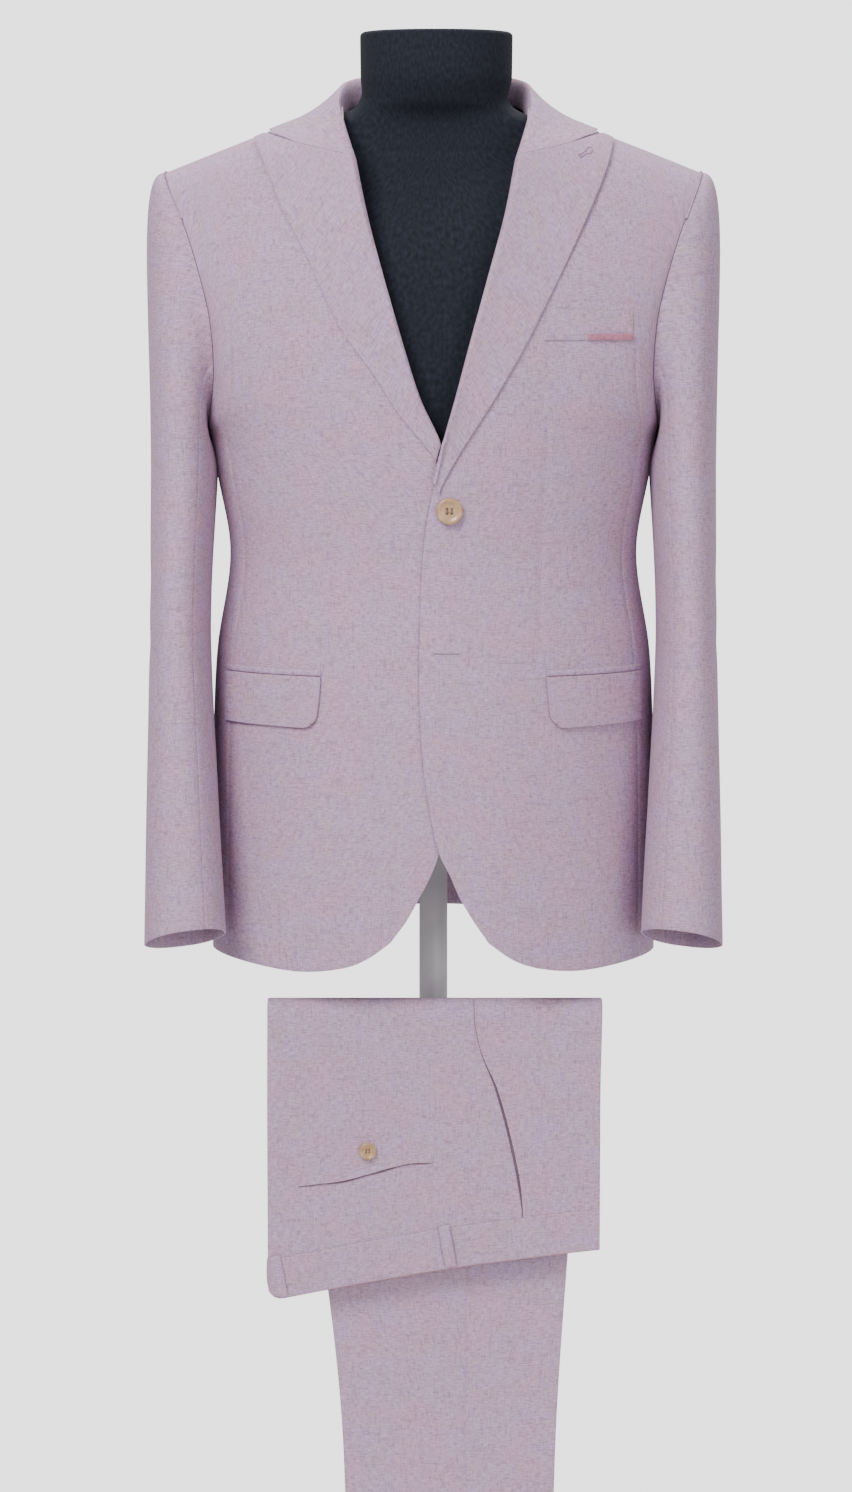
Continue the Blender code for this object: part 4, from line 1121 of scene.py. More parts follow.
# %% Cutting the sleeves
def jacket_sleeve(side):
    join_z = SLEEVE_TABLE[-1][0]
    turn = [(BACK_SEAM_DEG - 360, 0.0006)]
    turn += [(BACK_SEAM_DEG - 360 + 0.8 + (FRONT_SEAM_DEG - BACK_SEAM_DEG + 360 - 1.6) * j / 28, 0.0)
             for j in range(29)]
    turn += [(FRONT_SEAM_DEG, 0.0006)]
    turn += [(FRONT_SEAM_DEG + 0.8 + (BACK_SEAM_DEG - FRONT_SEAM_DEG - 1.6) * j / 44, 0.0) for j in range(45)]
    rows = []
    for i in range(HEAD_ROWS + 1):
        t = (i / HEAD_ROWS) ** 1.35
        row = []
        for degrees, _ in turn:
            ring = armhole_ring(degrees % 360, side)
            foot = sleeve_ring(degrees, join_z, side)
            rise = (1 - math.cos(math.radians(degrees))) / 2
            out = Vector((side * (0.55 + 0.45 * rise), 0.25 * (foot.y - ring.y), 0.10 * rise)).normalized()
            ring = ring + out * ARMHOLE_SEAM
            first = ring + out * (0.006 + 0.019 * rise)
            last = foot + Vector((0, 0, (ring.z - foot.z) * 0.64))
            b = ((1 - t) ** 3, 3 * t * (1 - t) ** 2, 3 * t * t * (1 - t), t**3)
            row.append(ring * b[0] + first * b[1] + last * b[2] + foot * b[3])
        rows.append(row)
    for i in range(1, ARM_ROWS + 1):
        t = i / ARM_ROWS
        z = join_z + (SLEEVE_TABLE[0][0] - join_z) * t
        rows.append([sleeve_ring(degrees, z, side, tilt=t**2) for degrees, _ in turn])
    for i, row in enumerate(rows):
        middle = sum(row, Vector()) / len(row)
        for j, (_, depth) in enumerate(turn):
            inward = (middle - row[j])
            inward.z = 0
            depth *= ease(i / 4)
            row[j] = row[j] + inward.normalized() * (depth + sleeve_sink(row[j], side))
    rows = [tucked(rows[0], 0.0034, side, 0.0030), tucked(rows[0], 0.0029, side, 0.0012),
            tucked(rows[0], 0.0013, side, -0.0001)] + rows
    name = "sleeve_left" if side > 0 else "sleeve_right"
    facing_from = HEAD_ROWS + ARM_ROWS - 3
    made = cloth_piece(name, rows, suiting, lining, thickness=SLEEVE_CLOTH, flip=side > 0, closed=True,
                       anchor=HEAD_ROWS + 3, edge=0.0005, facing=lambda i, j: i >= facing_from,
                       cut_at=(0, 18.9 if side > 0 else 21.6), above="column")
    word = "left" if side > 0 else "right"
    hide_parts(f"sleeve_top_{word}", f"sleeve_under_{word}")
    return made


sleeve_left = jacket_sleeve(1)
sleeve_right = jacket_sleeve(-1)
print("sleeves: cuffs at", SLEEVE_TABLE[0][0], "m, seams at", FRONT_SEAM_DEG, "and", BACK_SEAM_DEG, "degrees")

# %% [markdown]
# ## The collar
# The collar stands inside the neck, turns over at its fold and falls outside as a leaf that meets the
# lapels. It is one strip of cloth swept round the neck. Its leaf must clear the shoulders, so the height
# of the jacket under each point is looked up, and the leaf is kept a few millimetres above it.

# %% Collar
COLLAR_LIFT = 0.0028
COLLAR_CLOTH = 0.0016
NECK_SHIFT = 0.0017
# share of the way round, fold x, y, z
COLLAR_FOLD = (
    (0.00, 0.0000, 0.0790, 1.6340),
    (0.25, 0.0440, 0.0680, 1.6345),
    (0.50, 0.0765, 0.0330, 1.6280),
    (0.70, 0.0835, -0.0080, 1.6130),
    (0.85, 0.0820, -0.0400, 1.5975),
    (1.00, 0.0712, -0.0798, 1.5640),
)
# share of the way round, leaf edge x, angle over the shoulder in degrees (90 is the ridge)
COLLAR_LEAF = (
    (0.00, 0.0000, 117.0),
    (0.25, 0.0560, 115.0),
    (0.50, 0.1060, 109.0),
    (0.70, 0.1360, 98.0),
    (0.85, 0.1420, 86.0),
    (1.00, 0.1190, 69.0),
)
COLLAR_JOIN = 0.78
CORNER_SHARE = 0.86
GORGE_GAP = 0.0004
NOTCH_OPEN = 0.0012
COLLAR_STEPS = 150
LEAF_STEPS = 12


def over_shoulder(x, degrees, lift):
    """A point over the shoulder by its angle: 90 is the ridge, more is behind it."""
    share = abs(math.sin(math.radians(degrees))) ** (2 / YOKE_POWER)
    out = Vector((0, -math.cos(math.radians(degrees)), math.sin(math.radians(degrees))))
    return upper_point(x, share, degrees > 90) + out * lift


def jacket_top(x, y):
    """The height of the jacket's outer surface under a place near the shoulder seam."""
    back = y > shoulder_y(x, True)
    low, high = 0.3, 1.0
    for _ in range(24):
        share = (low + high) / 2
        if (upper_point(x, share, back).y < y) != back:
            low = share
        else:
            high = share
    return upper_point(x, low, back).z


def collar_end(left):
    """Where the collar's cloth ends: just above the lapel's top edge, and open past the notch."""
    width = abs(lapel_place(1.0, 1.0, left)[0] - lapel_place(0.0, 1.0, left)[0])
    points, lift = roll_points(1.0, left, width)
    for k in range(LEAF_STEPS + 1):
        q = 0.02 + (CORNER_SHARE - 0.02) * k / LEAF_STEPS
        x, z = lapel_place(q, 1.0, left)
        z += GORGE_GAP + NOTCH_OPEN * ease((q - 0.60) / 0.10)
        points.append(lapel_face(x, z, q, lift, left))
    return [point + Vector((0, 0, GORGE_GAP)) if k < 7 else point for k, point in enumerate(points)]


print("shoulder height under the leaf:", round(jacket_top(0.1, 0.0), 3), "m")

# %% Cutting the collar
def jacket_collar():
    lapel_top = {True: collar_end(True), False: collar_end(False)}
    rows = []
    for i in range(COLLAR_STEPS + 1):
        at = -1 + 2 * i / COLLAR_STEPS
        share, sign = abs(at), (-1 if at < 0 else 1)
        fold = Vector([smooth(COLLAR_FOLD, share, c) for c in (1, 2, 3)])
        fold.x *= sign
        leaf_x = smooth(COLLAR_LEAF, share, 1) * sign
        edge = over_shoulder(leaf_x, smooth(COLLAR_LEAF, share, 2), COLLAR_LIFT)
        outward = Vector((fold.x, fold.y + 0.01, 0)).normalized()
        drop = 0.024 - 0.004 * ease((share - 0.3) / 0.5)
        lean = outward * (1 - 0.55 * ease((share - 0.35) / 0.35))
        up = Vector((0, 0, 1))
        stand = [fold - lean * 0.0085 - up * drop, fold - lean * 0.0080 - up * drop * 0.7,
                 fold - lean * 0.0072 - up * drop * 0.42, fold - lean * 0.0060 - up * 0.0060,
                 fold - lean * 0.0045 - up * 0.0033, fold - lean * 0.0022 - up * 0.0009,
                 fold, fold + outward * 0.0028 - up * 0.0008]
        row = [point + Vector((NECK_SHIFT, 0, 0)) for point in stand]
        start = row[-1]
        for k in range(1, LEAF_STEPS + 1):
            t = k / LEAF_STEPS
            point = start.lerp(edge, t)
            point += outward * 0.004 * math.sin(math.pi * t) * (1 - ease(share / 0.4))
            point.z = max(point.z, jacket_top(point.x, point.y) + COLLAR_LIFT)
            row.append(point)
        onto = ease((share - COLLAR_JOIN) / (1 - COLLAR_JOIN))
        if onto:
            row = [point.lerp(goal, onto) for point, goal in zip(row, lapel_top[at > 0])]
        rows.append(row)
    made = cloth_piece("collar_cloth", rows, suiting_turned, felt, COLLAR_CLOTH, flip=True, edge=0.0003,
                       grain=lambda i, j: (i * 0.0036, 1.6 - j * 0.0045))
    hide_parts("collar")
    return made


collar = jacket_collar()
print("collar: fold at", COLLAR_FOLD[0][3], "m at the back of the neck")

# %% [markdown]
# ## Pockets on the front
# A hip pocket is a slit between narrow jets, covered by a flap that hangs from it. The flap's front lower
# corner is rounded: the grid's lower edge follows half of that corner and its front edge the other half.
# Each layer is lifted off the front along its normal by the layers beneath, so nothing sinks into
# anything.

# %% Hip pockets
LAY = 0.0004
FLAP_OUT = 0.1800
FLAP_IN = 0.0965
JET_TOP = 1.1215
JET_FOOT = 1.1160
FLAP_FOOT = 1.0710
FLAP_TUCK = 0.0006
FLAP_SLANT = 0.0040
FLAP_CORNER = 0.0125
FLAP_THICKNESS = 0.0018
FLAP_HANG = 0.0005
JET_THICKNESS = 0.0012


def over_front(x, z, lift):
    """A place on the front; the left front stands out where it laps over the right one."""
    return lifted(x, z, lift + (lap_lift(x) if x > 0 else 0.0))


def corner_cut(off):
    """How far the rounded corner keeps an edge back, at a distance off the other edge."""
    left = max(FLAP_CORNER - off, 0.0)
    return FLAP_CORNER - math.sqrt(FLAP_CORNER**2 - left**2)


def pocket_flap(sign, word):
    columns, lines = 46, 26
    corner = FLAP_CORNER * (1 - math.sqrt(0.5))
    rows = []
    for i in range(lines + 1):
        v = (i / lines) ** 1.4
        front_z = FLAP_FOOT + corner + (JET_FOOT - FLAP_TUCK - FLAP_FOOT - corner) * v
        inset = corner_cut(front_z - FLAP_FOOT) + FLAP_SLANT * (1 - v) ** 1.5
        row = []
        for j in range(columns + 1):
            t = 1 - (1 - j / columns) ** 1.6
            from_front = (1 - t) * (FLAP_OUT - FLAP_IN - corner) + corner
            foot = FLAP_FOOT + corner_cut(from_front) + 0.0015 * (1 - t)
            z = foot + (JET_FOOT - FLAP_TUCK - foot) * v
            x = FLAP_OUT - (FLAP_OUT - FLAP_IN - inset) * t
            hang = FLAP_HANG * (1 - v) ** 2 + 0.0003 * math.sin(9 * t) * (1 - v)
            row.append(over_front(sign * x, z, FLAP_THICKNESS + 2 * LAY + hang))
        rows.append(row)
    made = cloth_piece(f"hip_flap_{word}", rows, suiting, lining, FLAP_THICKNESS, flip=sign > 0, edge=0.0007,
                       grain=lambda i, j: (0.31 + 0.0018 * j, (1.071 if sign > 0 else 4.4) + 0.0025 * i))
    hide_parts(f"pocket_flap_{word}")
    return made


def pocket_jet(sign, word):
    """The upper jet: a narrow folded strip, rounded like piping."""
    lines = 6
    rows = []
    for i in range(lines + 1):
        v = i / lines
        z = JET_FOOT + (JET_TOP - JET_FOOT) * v
        round_over = math.sin(math.pi * v) ** 0.6
        rows.append([over_front(sign * (FLAP_OUT - (FLAP_OUT - FLAP_IN) * j / 40), z,
                                JET_THICKNESS * (0.45 + 0.55 * round_over) + LAY) for j in range(41)])
    made = cloth_piece(f"hip_jet_{word}", rows, suiting, thickness=0.0006, flip=sign > 0, edge=0.0002)
    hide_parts(f"pocket_jet_{word}")
    return made


flaps = [pocket_flap(sign, word) for sign, word in ((1, "left"), (-1, "right"))]
jets = [pocket_jet(sign, word) for sign, word in ((1, "left"), (-1, "right"))]
print("hip pockets:", round((FLAP_OUT - FLAP_IN) * 1000), "mm wide,",
      "flaps", round((JET_FOOT - FLAP_FOOT) * 1000), "mm")

# %% [markdown]
# ## The breast pocket
# Its welt is a strip of the same cloth, sewn down at both ends and open along the top. It is pressed so
# flat that only its edges show, and a rose tab is folded over its foot. Both are thin patches over the
# front.

# %% Breast welt and tab
WELT = ((0.0930, 1.4030), (0.1700, 1.4030), (0.1700, 1.4275), (0.0960, 1.4300))
TAB = ((0.1310, 1.4035), (0.1702, 1.4035), (0.1702, 1.4085), (0.1310, 1.4085))
WELT_THICKNESS = 0.0008
TAB_THICKNESS = 0.0009


def front_patch(name, corners, cloth, thickness, lift, columns, lines, edge, swell=0.0):
    """A patch between four corners, given as x and z from its lower inner one round."""
    (x0, z0), (x1, z1), (x2, z2), (x3, z3) = corners
    rows = []
    for i in range(lines + 1):
        v = i / lines
        row = []
        for j in range(columns + 1):
            u = j / columns
            x = (x0 * (1 - u) + x1 * u) * (1 - v) + (x3 * (1 - u) + x2 * u) * v
            z = (z0 * (1 - u) + z1 * u) * (1 - v) + (z3 * (1 - u) + z2 * u) * v
            bulge = swell * math.sin(math.pi * u) ** 0.5 * v
            row.append(over_front(x, z, lift + bulge))
        rows.append(row)
    return cloth_piece(name, rows, cloth, thickness=thickness, edge=edge,
                       across_start=lambda row: row[0].x, flip=corners[1][0] < corners[0][0])


welt = front_patch("breast_pocket_welt", WELT, suiting, WELT_THICKNESS, WELT_THICKNESS + LAY / 2,
                   36, 12, 0.0003, 0.0002)
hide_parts("breast_welt")
tab = front_patch("rose_pocket_tab", TAB, trim, TAB_THICKNESS, TAB_THICKNESS + WELT_THICKNESS + 2 * LAY,
                  22, 6, 0.0003)
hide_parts("breast_tab")
print("breast welt:", round((WELT[1][0] - WELT[0][0]) * 1000), "mm wide,",
      "tab", round((TAB[1][0] - TAB[0][0]) * 1000), "mm")

# %% [markdown]
# ## Buttonholes
# A tailor's buttonhole has an eye at one end, a bar at the other, and purl stitches all round. The one on
# the lapel is worked in mauve, and the lower one on the front in lilac. Thread is round, so it is a curve
# with a bevel, laid along the outline, and a slightly wavy radius gives the purl.

# %% Buttonholes
def thread_line(name, points, radius, material, closed=False, purl=0.0, pitch=0.0008):
    """A round thread through points, with a swelling for every stitch."""
    length = sum((b - a).length for a, b in zip(points, points[1:]))
    count = max(int(length / pitch * 2), len(points))
    lengths = [0.0]
    for a, b in zip(points, points[1:]):
        lengths.append(lengths[-1] + (b - a).length)
    curve = bpy.data.curves.new(name, "CURVE")
    curve.dimensions = "3D"
    curve.bevel_depth = radius
    curve.bevel_resolution = 2
    curve.use_fill_caps = True
    line = curve.splines.new("POLY")
    line.points.add(count)
    k = 0
    for i in range(count + 1):
        at = lengths[-1] * i / count
        while k < len(points) - 2 and lengths[k + 1] < at:
            k += 1
        part = (at - lengths[k]) / max(lengths[k + 1] - lengths[k], 1e-9)
        line.points[i].co = (*points[k].lerp(points[k + 1], part), 1)
        line.points[i].radius = 1 + purl * (1 if i % 2 else -1)
    line.use_cyclic_u = closed
    curve.materials.append(material)
    made = into_scene(name, curve)
    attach(made, "root")
    return made


print("thread: a round curve")

# %% Outline of a buttonhole
def lapel_lift_at(z):
    """The lapel's face over the front at a place near its peak."""
    return LAPEL_LIFT + YOKE_LIFT * ease((z - 1.465) / 0.055)


def on_lapel(x, z, proud):
    return lifted(x, z, lapel_lift_at(z) + lap_lift(x) + proud)


def buttonhole_outline(eye, bar, eye_radius, half_width):
    """The outline from one side of the bar, round the eye, to the other side; eye and bar are x, z."""
    along = Vector((bar[0] - eye[0], bar[1] - eye[1]))
    length = along.length
    along /= length
    side = Vector((-along.y, along.x))
    outline = []
    for t in np.linspace(1.0, 0.3, 9):
        outline.append(Vector(eye) + along * length * t + side * half_width)
    for k in range(15):
        turn = math.radians(50 + 260 * k / 14)
        outline.append(Vector(eye) + eye_radius * (along * math.cos(turn) + side * math.sin(turn)))
    for t in np.linspace(0.3, 1.0, 9):
        outline.append(Vector(eye) + along * length * t - side * half_width)
    return outline, side, along * length


print("outline: round the eye")

# %% Two worked buttonholes
EYE = (0.1328, 1.5623)
BAR = (0.1243, 1.5572)
outline, side, _ = buttonhole_outline(EYE, BAR, 0.0026, 0.0011)
lapel_hole = thread_line("lapel_buttonhole", [on_lapel(p.x, p.y, 0.0001) for p in outline], 0.00038,
                         mauve_thread, purl=0.22)
bar_ends = [Vector(BAR) + side * s * 0.0021 for s in (-1, -0.3, 0.3, 1)]
lapel_bar = thread_line("lapel_buttonhole_bar", [on_lapel(p.x, p.y, 0.0002) for p in bar_ends], 0.00055,
                        mauve_thread, purl=0.15)

LOWER_HOLE_Z = 1.1365
outline, side, _ = buttonhole_outline((0.0003, LOWER_HOLE_Z), (0.0225, LOWER_HOLE_Z), 0.0019, 0.0009)
front_hole = thread_line("front_buttonhole", [over_front(p.x, p.y, 0.0001) for p in outline], 0.00036,
                         lilac_thread, purl=0.22)
bar_ends = [Vector((0.0230, LOWER_HOLE_Z + s * 0.0022)) for s in (-1, 0, 1)]
front_bar = thread_line("front_buttonhole_bar", [over_front(p.x, p.y, 0.0002) for p in bar_ends], 0.00045,
                        lilac_thread, purl=0.15)
# painted shade: the slit's dark line is a mauve thread laid along the cut, standing in for the shade in the
# opening
slit = thread_line("front_buttonhole_slit", [over_front(x, LOWER_HOLE_Z, -0.00005) for x in
                                             np.linspace(0.0003, 0.0215, 12)], 0.0004, mauve_thread)
print("buttonholes: lapel 10 mm, front 22 mm")

# %% [markdown]
# ## Buttons
# A horn button is turned on a lathe: a rounded rim, a shallow dish and four drilled holes. The profile is
# turned in 72 steps and a Boolean drills it. Thread runs through the holes in two bars, and a wound neck
# holds it off.

# %% Buttons
def horn_button(name, node, centre, axis, radius, thickness):
    profile = [(0.0, thickness * 0.66), (radius * 0.40, thickness * 0.64), (radius * 0.60, thickness * 0.70),
               (radius * 0.70, thickness * 0.90), (radius * 0.78, thickness * 0.995),
               (radius * 0.86, thickness), (radius * 0.94, thickness * 0.90),
               (radius * 0.99, thickness * 0.68), (radius, thickness * 0.45),
               (radius * 0.97, thickness * 0.2), (radius * 0.88, 0.0), (0.0, 0.0)]
    steps = 72
    points, faces = [(0, 0, profile[0][1])], []
    for r, z in profile[1:-1]:
        points += [(r * math.cos(2 * math.pi * k / steps), r * math.sin(2 * math.pi * k / steps), z)
                   for k in range(steps)]
    points.append((0, 0, 0))
    last = len(points) - 1
    for k in range(steps):
        n = (k + 1) % steps
        faces.append((0, 1 + k, 1 + n))
        for ring in range(len(profile) - 3):
            a, b = 1 + ring * steps, 1 + (ring + 1) * steps
            faces.append((a + k, b + k, b + n, a + n))
        faces.append((last, last - steps + n, last - steps + k))
    made = link_mesh(name, points, faces)
    for index, (dx, dy) in enumerate(((-1, -1), (1, -1), (1, 1), (-1, 1))):
        hole = radius * 0.085
        drill = bmesh.new()
        bmesh.ops.create_cone(drill, cap_ends=True, segments=20, radius1=hole, radius2=hole,
                              depth=thickness * 4)
        tool_mesh = bpy.data.meshes.new(f"{name}_drill_{index}")
        drill.to_mesh(tool_mesh)
        drill.free()
        tool = into_scene(f"{name}_drill_{index}", tool_mesh)
        tool.location = (dx * radius * 0.165, dy * radius * 0.165, 0)
        cut = made.modifiers.new("drilled", "BOOLEAN")
        cut.operation = "DIFFERENCE"
        cut.object = tool
        cut.solver = "EXACT"
        bpy.context.view_layer.update()
        cut_mesh = bpy.data.meshes.new_from_object(made.evaluated_get(bpy.context.evaluated_depsgraph_get()))
        made.modifiers.clear()
        made.data = cut_mesh
        bpy.data.objects.remove(tool)
    made.data.materials.clear()
    made.data.materials.append(horn)
    made.data.shade_smooth()
    turn = Vector(axis).to_track_quat("Z", "Y").to_matrix().to_4x4()
    turn.translation = Vector(centre)
    made.data.transform(turn)
    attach(made, "root")
    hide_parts(node)
    spacing = radius * 0.165
    bars = []
    for index, dx in enumerate((-1, 1)):
        loop = [Vector((dx * spacing, s * spacing * 1.05, h)) for s, h in
                ((-1, -thickness * 0.1), (-1, thickness * 0.62), (-0.8, thickness * 0.74),
                 (0, thickness * 0.78), (0.8, thickness * 0.74), (1, thickness * 0.62),
                 (1, -thickness * 0.1))]
        bars.append(thread_line(f"{name}_thread_{index}", [turn @ p for p in loop], radius * 0.05,
                                brown_thread, purl=0.1))
    return made, bars, turn


print("button: four drilled holes")

# %% Front button
BUTTON_RADIUS = 0.0115
BUTTON_THICKNESS = 0.0036
BUTTON_STAND_OFF = 0.0011
x, z = BUTTON_AT
seat = front_at(x, z).y - lap_lift(x)
button, button_threads, button_turn = horn_button("horn_front_button", "front_button",
                                                  (x, seat - BUTTON_STAND_OFF, z), (0, -1, 0.03),
                                                  BUTTON_RADIUS, BUTTON_THICKNESS)
NECK_RADIUS = 0.0016
NECK_TURNS = 4
neck = []
for a in np.linspace(0, 2 * math.pi * NECK_TURNS, 60):
    rise = BUTTON_STAND_OFF * (a / (2 * math.pi * NECK_TURNS) - 1)
    neck.append(button_turn @ Vector((NECK_RADIUS * math.cos(a), NECK_RADIUS * math.sin(a), rise)))
button_neck = thread_line("front_button_neck", neck, 0.0004, brown_thread)
print("front button:", len(button.data.polygons), "faces,", round(BUTTON_RADIUS * 2000), "mm wide")

# %% [markdown]
# ## The dress form
# The form is foam in a jersey sleeve, with a flat-topped neck and no arms. Only its neck and chest show,
# so the knit matters more than the body. Sections are lofted from a table, the rim of the neck is
# rounded, and the jersey's two seams, front and back, are grooves in the surface.

# %% Dress form
FORM_FOOT_Z = 1.020
NECK_TOP_Z = 1.6680
# height, half width, front depth, back depth of the dress form
FORM_TABLE = (
    (FORM_FOOT_Z, 0.150, 0.088, 0.080),
    (1.120, 0.158, 0.096, 0.084),
    (1.216, 0.156, 0.098, 0.078),
    (1.325, 0.176, 0.108, 0.090),
    (1.420, 0.182, 0.106, 0.094),
    (1.490, 0.190, 0.092, 0.080),
    (1.536, 0.194, 0.060, 0.055),
    (1.5575, 0.187, 0.040, 0.034),
    (1.5732, 0.160, 0.036, 0.032),
    (1.5876, 0.120, 0.036, 0.036),
    (1.5970, 0.082, 0.040, 0.044),
    (1.6080, 0.0655, 0.050, 0.050),
    (1.630, 0.0660, 0.060, 0.053),
    (NECK_TOP_Z, 0.0665, 0.061, 0.055),
)
NECK_RIM = 0.004


def form_row(z, inset=0.0, columns=120):
    half, front, back = (smooth(FORM_TABLE, z, c) for c in (1, 2, 3))
    shift = 0.0025 * ease((z - 1.596) / 0.034)
    row = []
    for j in range(columns):
        turn = 2 * math.pi * j / columns
        c, s = math.cos(turn), math.sin(turn)
        depth = (back if s > 0 else front) - inset
        seam = 0.0008 * math.exp(-(c / 0.02) ** 2)
        row.append(Vector((shift + (half - inset) * math.copysign(abs(c) ** 0.92, c),
                           (depth - seam) * math.copysign(abs(s) ** 0.92, s), z)))
    return row


form_rows = [form_row(FORM_FOOT_Z + 0.001 * k, 0.006 * (1 - ease(k / 5)), 120) for k in range(6)]
form_rows += [form_row(z) for z in np.linspace(FORM_FOOT_Z + 0.008, 1.53, 60)]
form_rows += [form_row(z) for z in np.linspace(1.533, NECK_TOP_Z - NECK_RIM, 70)]
for k in range(1, 7):
    turn = math.pi / 2 * k / 6
    form_rows.append([p + Vector((0, 0, NECK_RIM * math.sin(turn) - NECK_RIM)) for p in
                      form_row(NECK_TOP_Z, NECK_RIM * (1 - math.cos(turn)))])
rim = form_rows[-1]
top_middle = sum(rim, Vector()) / len(rim)
for share in (0.75, 0.45, 0.15):
    form_rows.append([top_middle.lerp(p, share) for p in rim])
form_points = [p for row in form_rows for p in row]
form_faces = grid_faces(len(form_rows), 120, closed=True)
form_faces.append(tuple(range(119, -1, -1)))
form_faces.append(tuple((len(form_rows) - 1) * 120 + j for j in range(120)))
form = link_mesh("jersey_form", form_points, form_faces)
knit = form.data.uv_layers.new(name="grain")
for polygon in form.data.polygons:
    for loop, vertex in zip(polygon.loop_indices, polygon.vertices):
        p = form.data.vertices[vertex].co
        around = math.atan2(p.y, p.x) if p.y < 0 or p.x > 0 else math.atan2(p.y, p.x) - 2 * math.pi
        knit.data[loop].uv = (around * 0.12, p.z) if len(polygon.vertices) == 4 else (p.x, p.y)
form.data.materials.append(jersey)
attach(form, "root")
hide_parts("dress_form")
print("form:", len(form_points), "points, neck", round(2000 * FORM_TABLE[-1][1]), "mm wide")

# %% [markdown]
# ## The stand
# A turned base carries a pole, and a clamp on the pole carries the rail that the trousers hang on. Turned
# parts come from a profile and a Screw modifier, with small steps at every joint so that edges catch the
# light. The rail is one bent rod, so it is a curve with a round bevel.

# %% Stand
BASE_RADIUS = 0.190
POLE_RADIUS = 0.0125
ARM_Z = 0.655
BASE_TOP = 0.014


def turned_piece(name, profile, node, steps=96):
    """A turned solid from a profile of radius and height, top to bottom, with softened edges."""
    mesh = bpy.data.meshes.new(name)
    mesh.from_pydata([(r, 0, z) for r, z in profile], [(i, i + 1) for i in range(len(profile) - 1)], [])
    made = into_scene(name, mesh)
    turn = made.modifiers.new("turn", "SCREW")
    turn.steps = turn.render_steps = steps
    turn.use_merge_vertices = True
    turn.merge_threshold = 0.00005
    soften = made.modifiers.new("softened_edges", "BEVEL")
    soften.width = 0.0005
    soften.segments = 2
    soften.angle_limit = math.radians(25)
    made.data.materials.append(steel)
    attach(made, "root")
    if node:
        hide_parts(node)
    return made


print("turned pieces: Screw and Bevel")

# %% Base and pole
base_profile = ((0, BASE_TOP), (0.030, BASE_TOP), (0.034, 0.0136), (BASE_RADIUS - 0.012, 0.010),
                (BASE_RADIUS - 0.005, 0.0088), (BASE_RADIUS - 0.002, 0.0070), (BASE_RADIUS, 0.004),
                (BASE_RADIUS, 0.0012), (BASE_RADIUS - 0.0012, 0.0), (0, 0))
base = turned_piece("turned_base", base_profile, "stand_base", 160)
form_seat = FORM_FOOT_Z - 0.0003
pole_foot = BASE_TOP + 0.0003
clamp = POLE_RADIUS + 0.0075
pole_profile = ((0, form_seat), (0.0440, form_seat), (0.0450, form_seat - 0.001),
                (0.045, form_seat - 0.007), (0.0440, form_seat - 0.008),
                (POLE_RADIUS + 0.004, form_seat - 0.010), (POLE_RADIUS, form_seat - 0.018),
                (POLE_RADIUS, ARM_Z + 0.0195), (clamp - 0.001, ARM_Z + 0.018), (clamp, ARM_Z + 0.017),
                (clamp, ARM_Z + 0.002), (clamp - 0.0006, ARM_Z), (clamp, ARM_Z - 0.002),
                (clamp, ARM_Z - 0.017), (clamp - 0.001, ARM_Z - 0.018),
                (POLE_RADIUS, ARM_Z - 0.0195), (POLE_RADIUS, pole_foot + 0.030),
                (0.016, pole_foot + 0.022), (0.026, pole_foot + 0.012),
                (0.030, pole_foot + 0.004), (0.030, pole_foot), (0, pole_foot))
pole = turned_piece("stand_tube", pole_profile, "stand_pole", 64)

print("pole:", round(2000 * POLE_RADIUS), "mm thick")

# %% Bent rail
RAIL_Y = -0.075
RAIL_RADIUS = 0.0070
RAIL_Z = 0.8171
ARM_LEFT_X = -0.1270
ARM_RIGHT_X = 0.1325


def rounded_route(corners, radius, steps=12):
    """A route through corners, each turned by an arc."""
    route = [Vector(corners[0])]
    for before, here, after in zip(corners, corners[1:], corners[2:]):
        before, here, after = Vector(before), Vector(here), Vector(after)
        a, b = (before - here).normalized(), (after - here).normalized()
        for k in range(steps + 1):
            t = k / steps
            route.append(here + a * radius * (1 - t) ** 2 + b * radius * t**2)
    route.append(Vector(corners[-1]))
    return route


arm_start = clamp + 0.0003
route = rounded_route(((-arm_start, 0, ARM_Z), (ARM_LEFT_X, 0, ARM_Z), (ARM_LEFT_X, RAIL_Y, ARM_Z),
                       (ARM_LEFT_X, RAIL_Y, RAIL_Z), (ARM_RIGHT_X, RAIL_Y, RAIL_Z),
                       (ARM_RIGHT_X, RAIL_Y, ARM_Z), (ARM_RIGHT_X, 0, ARM_Z), (arm_start, 0, ARM_Z)), 0.022)
rod = bpy.data.curves.new("bent_rail", "CURVE")
rod.dimensions = "3D"
rod.bevel_depth = RAIL_RADIUS
rod.bevel_resolution = 8
rod.use_fill_caps = True
line = rod.splines.new("POLY")
line.points.add(len(route) - 1)
for point, place in zip(line.points, route):
    point.co = (*place, 1)
rod.splines[0].use_smooth = True
rod.materials.append(steel)
rail = into_scene("bent_rail", rod)
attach(rail, "root")
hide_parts("trouser_rail")
print("stand: base", round(BASE_RADIUS * 2000), "mm, rail at", RAIL_Z, "m")

# %% [markdown]
# ## Trousers over the rail
# Each leg is a front and a back panel, sewn at the outside and the inside leg, and pressed so that the
# creases are its two edges. Laid flat, a panel's section is a long U: out along the face, round the
# crease and back. Every section is given by x and a depth from the rail, then carried over the rail along
# the cloth's length s.

# %% Measures of the folded trousers
STACK = 0.0062
LIGHT_CLOTH = 0.0012
RAIL_GAP = 0.0006
HEM_S = 0.765
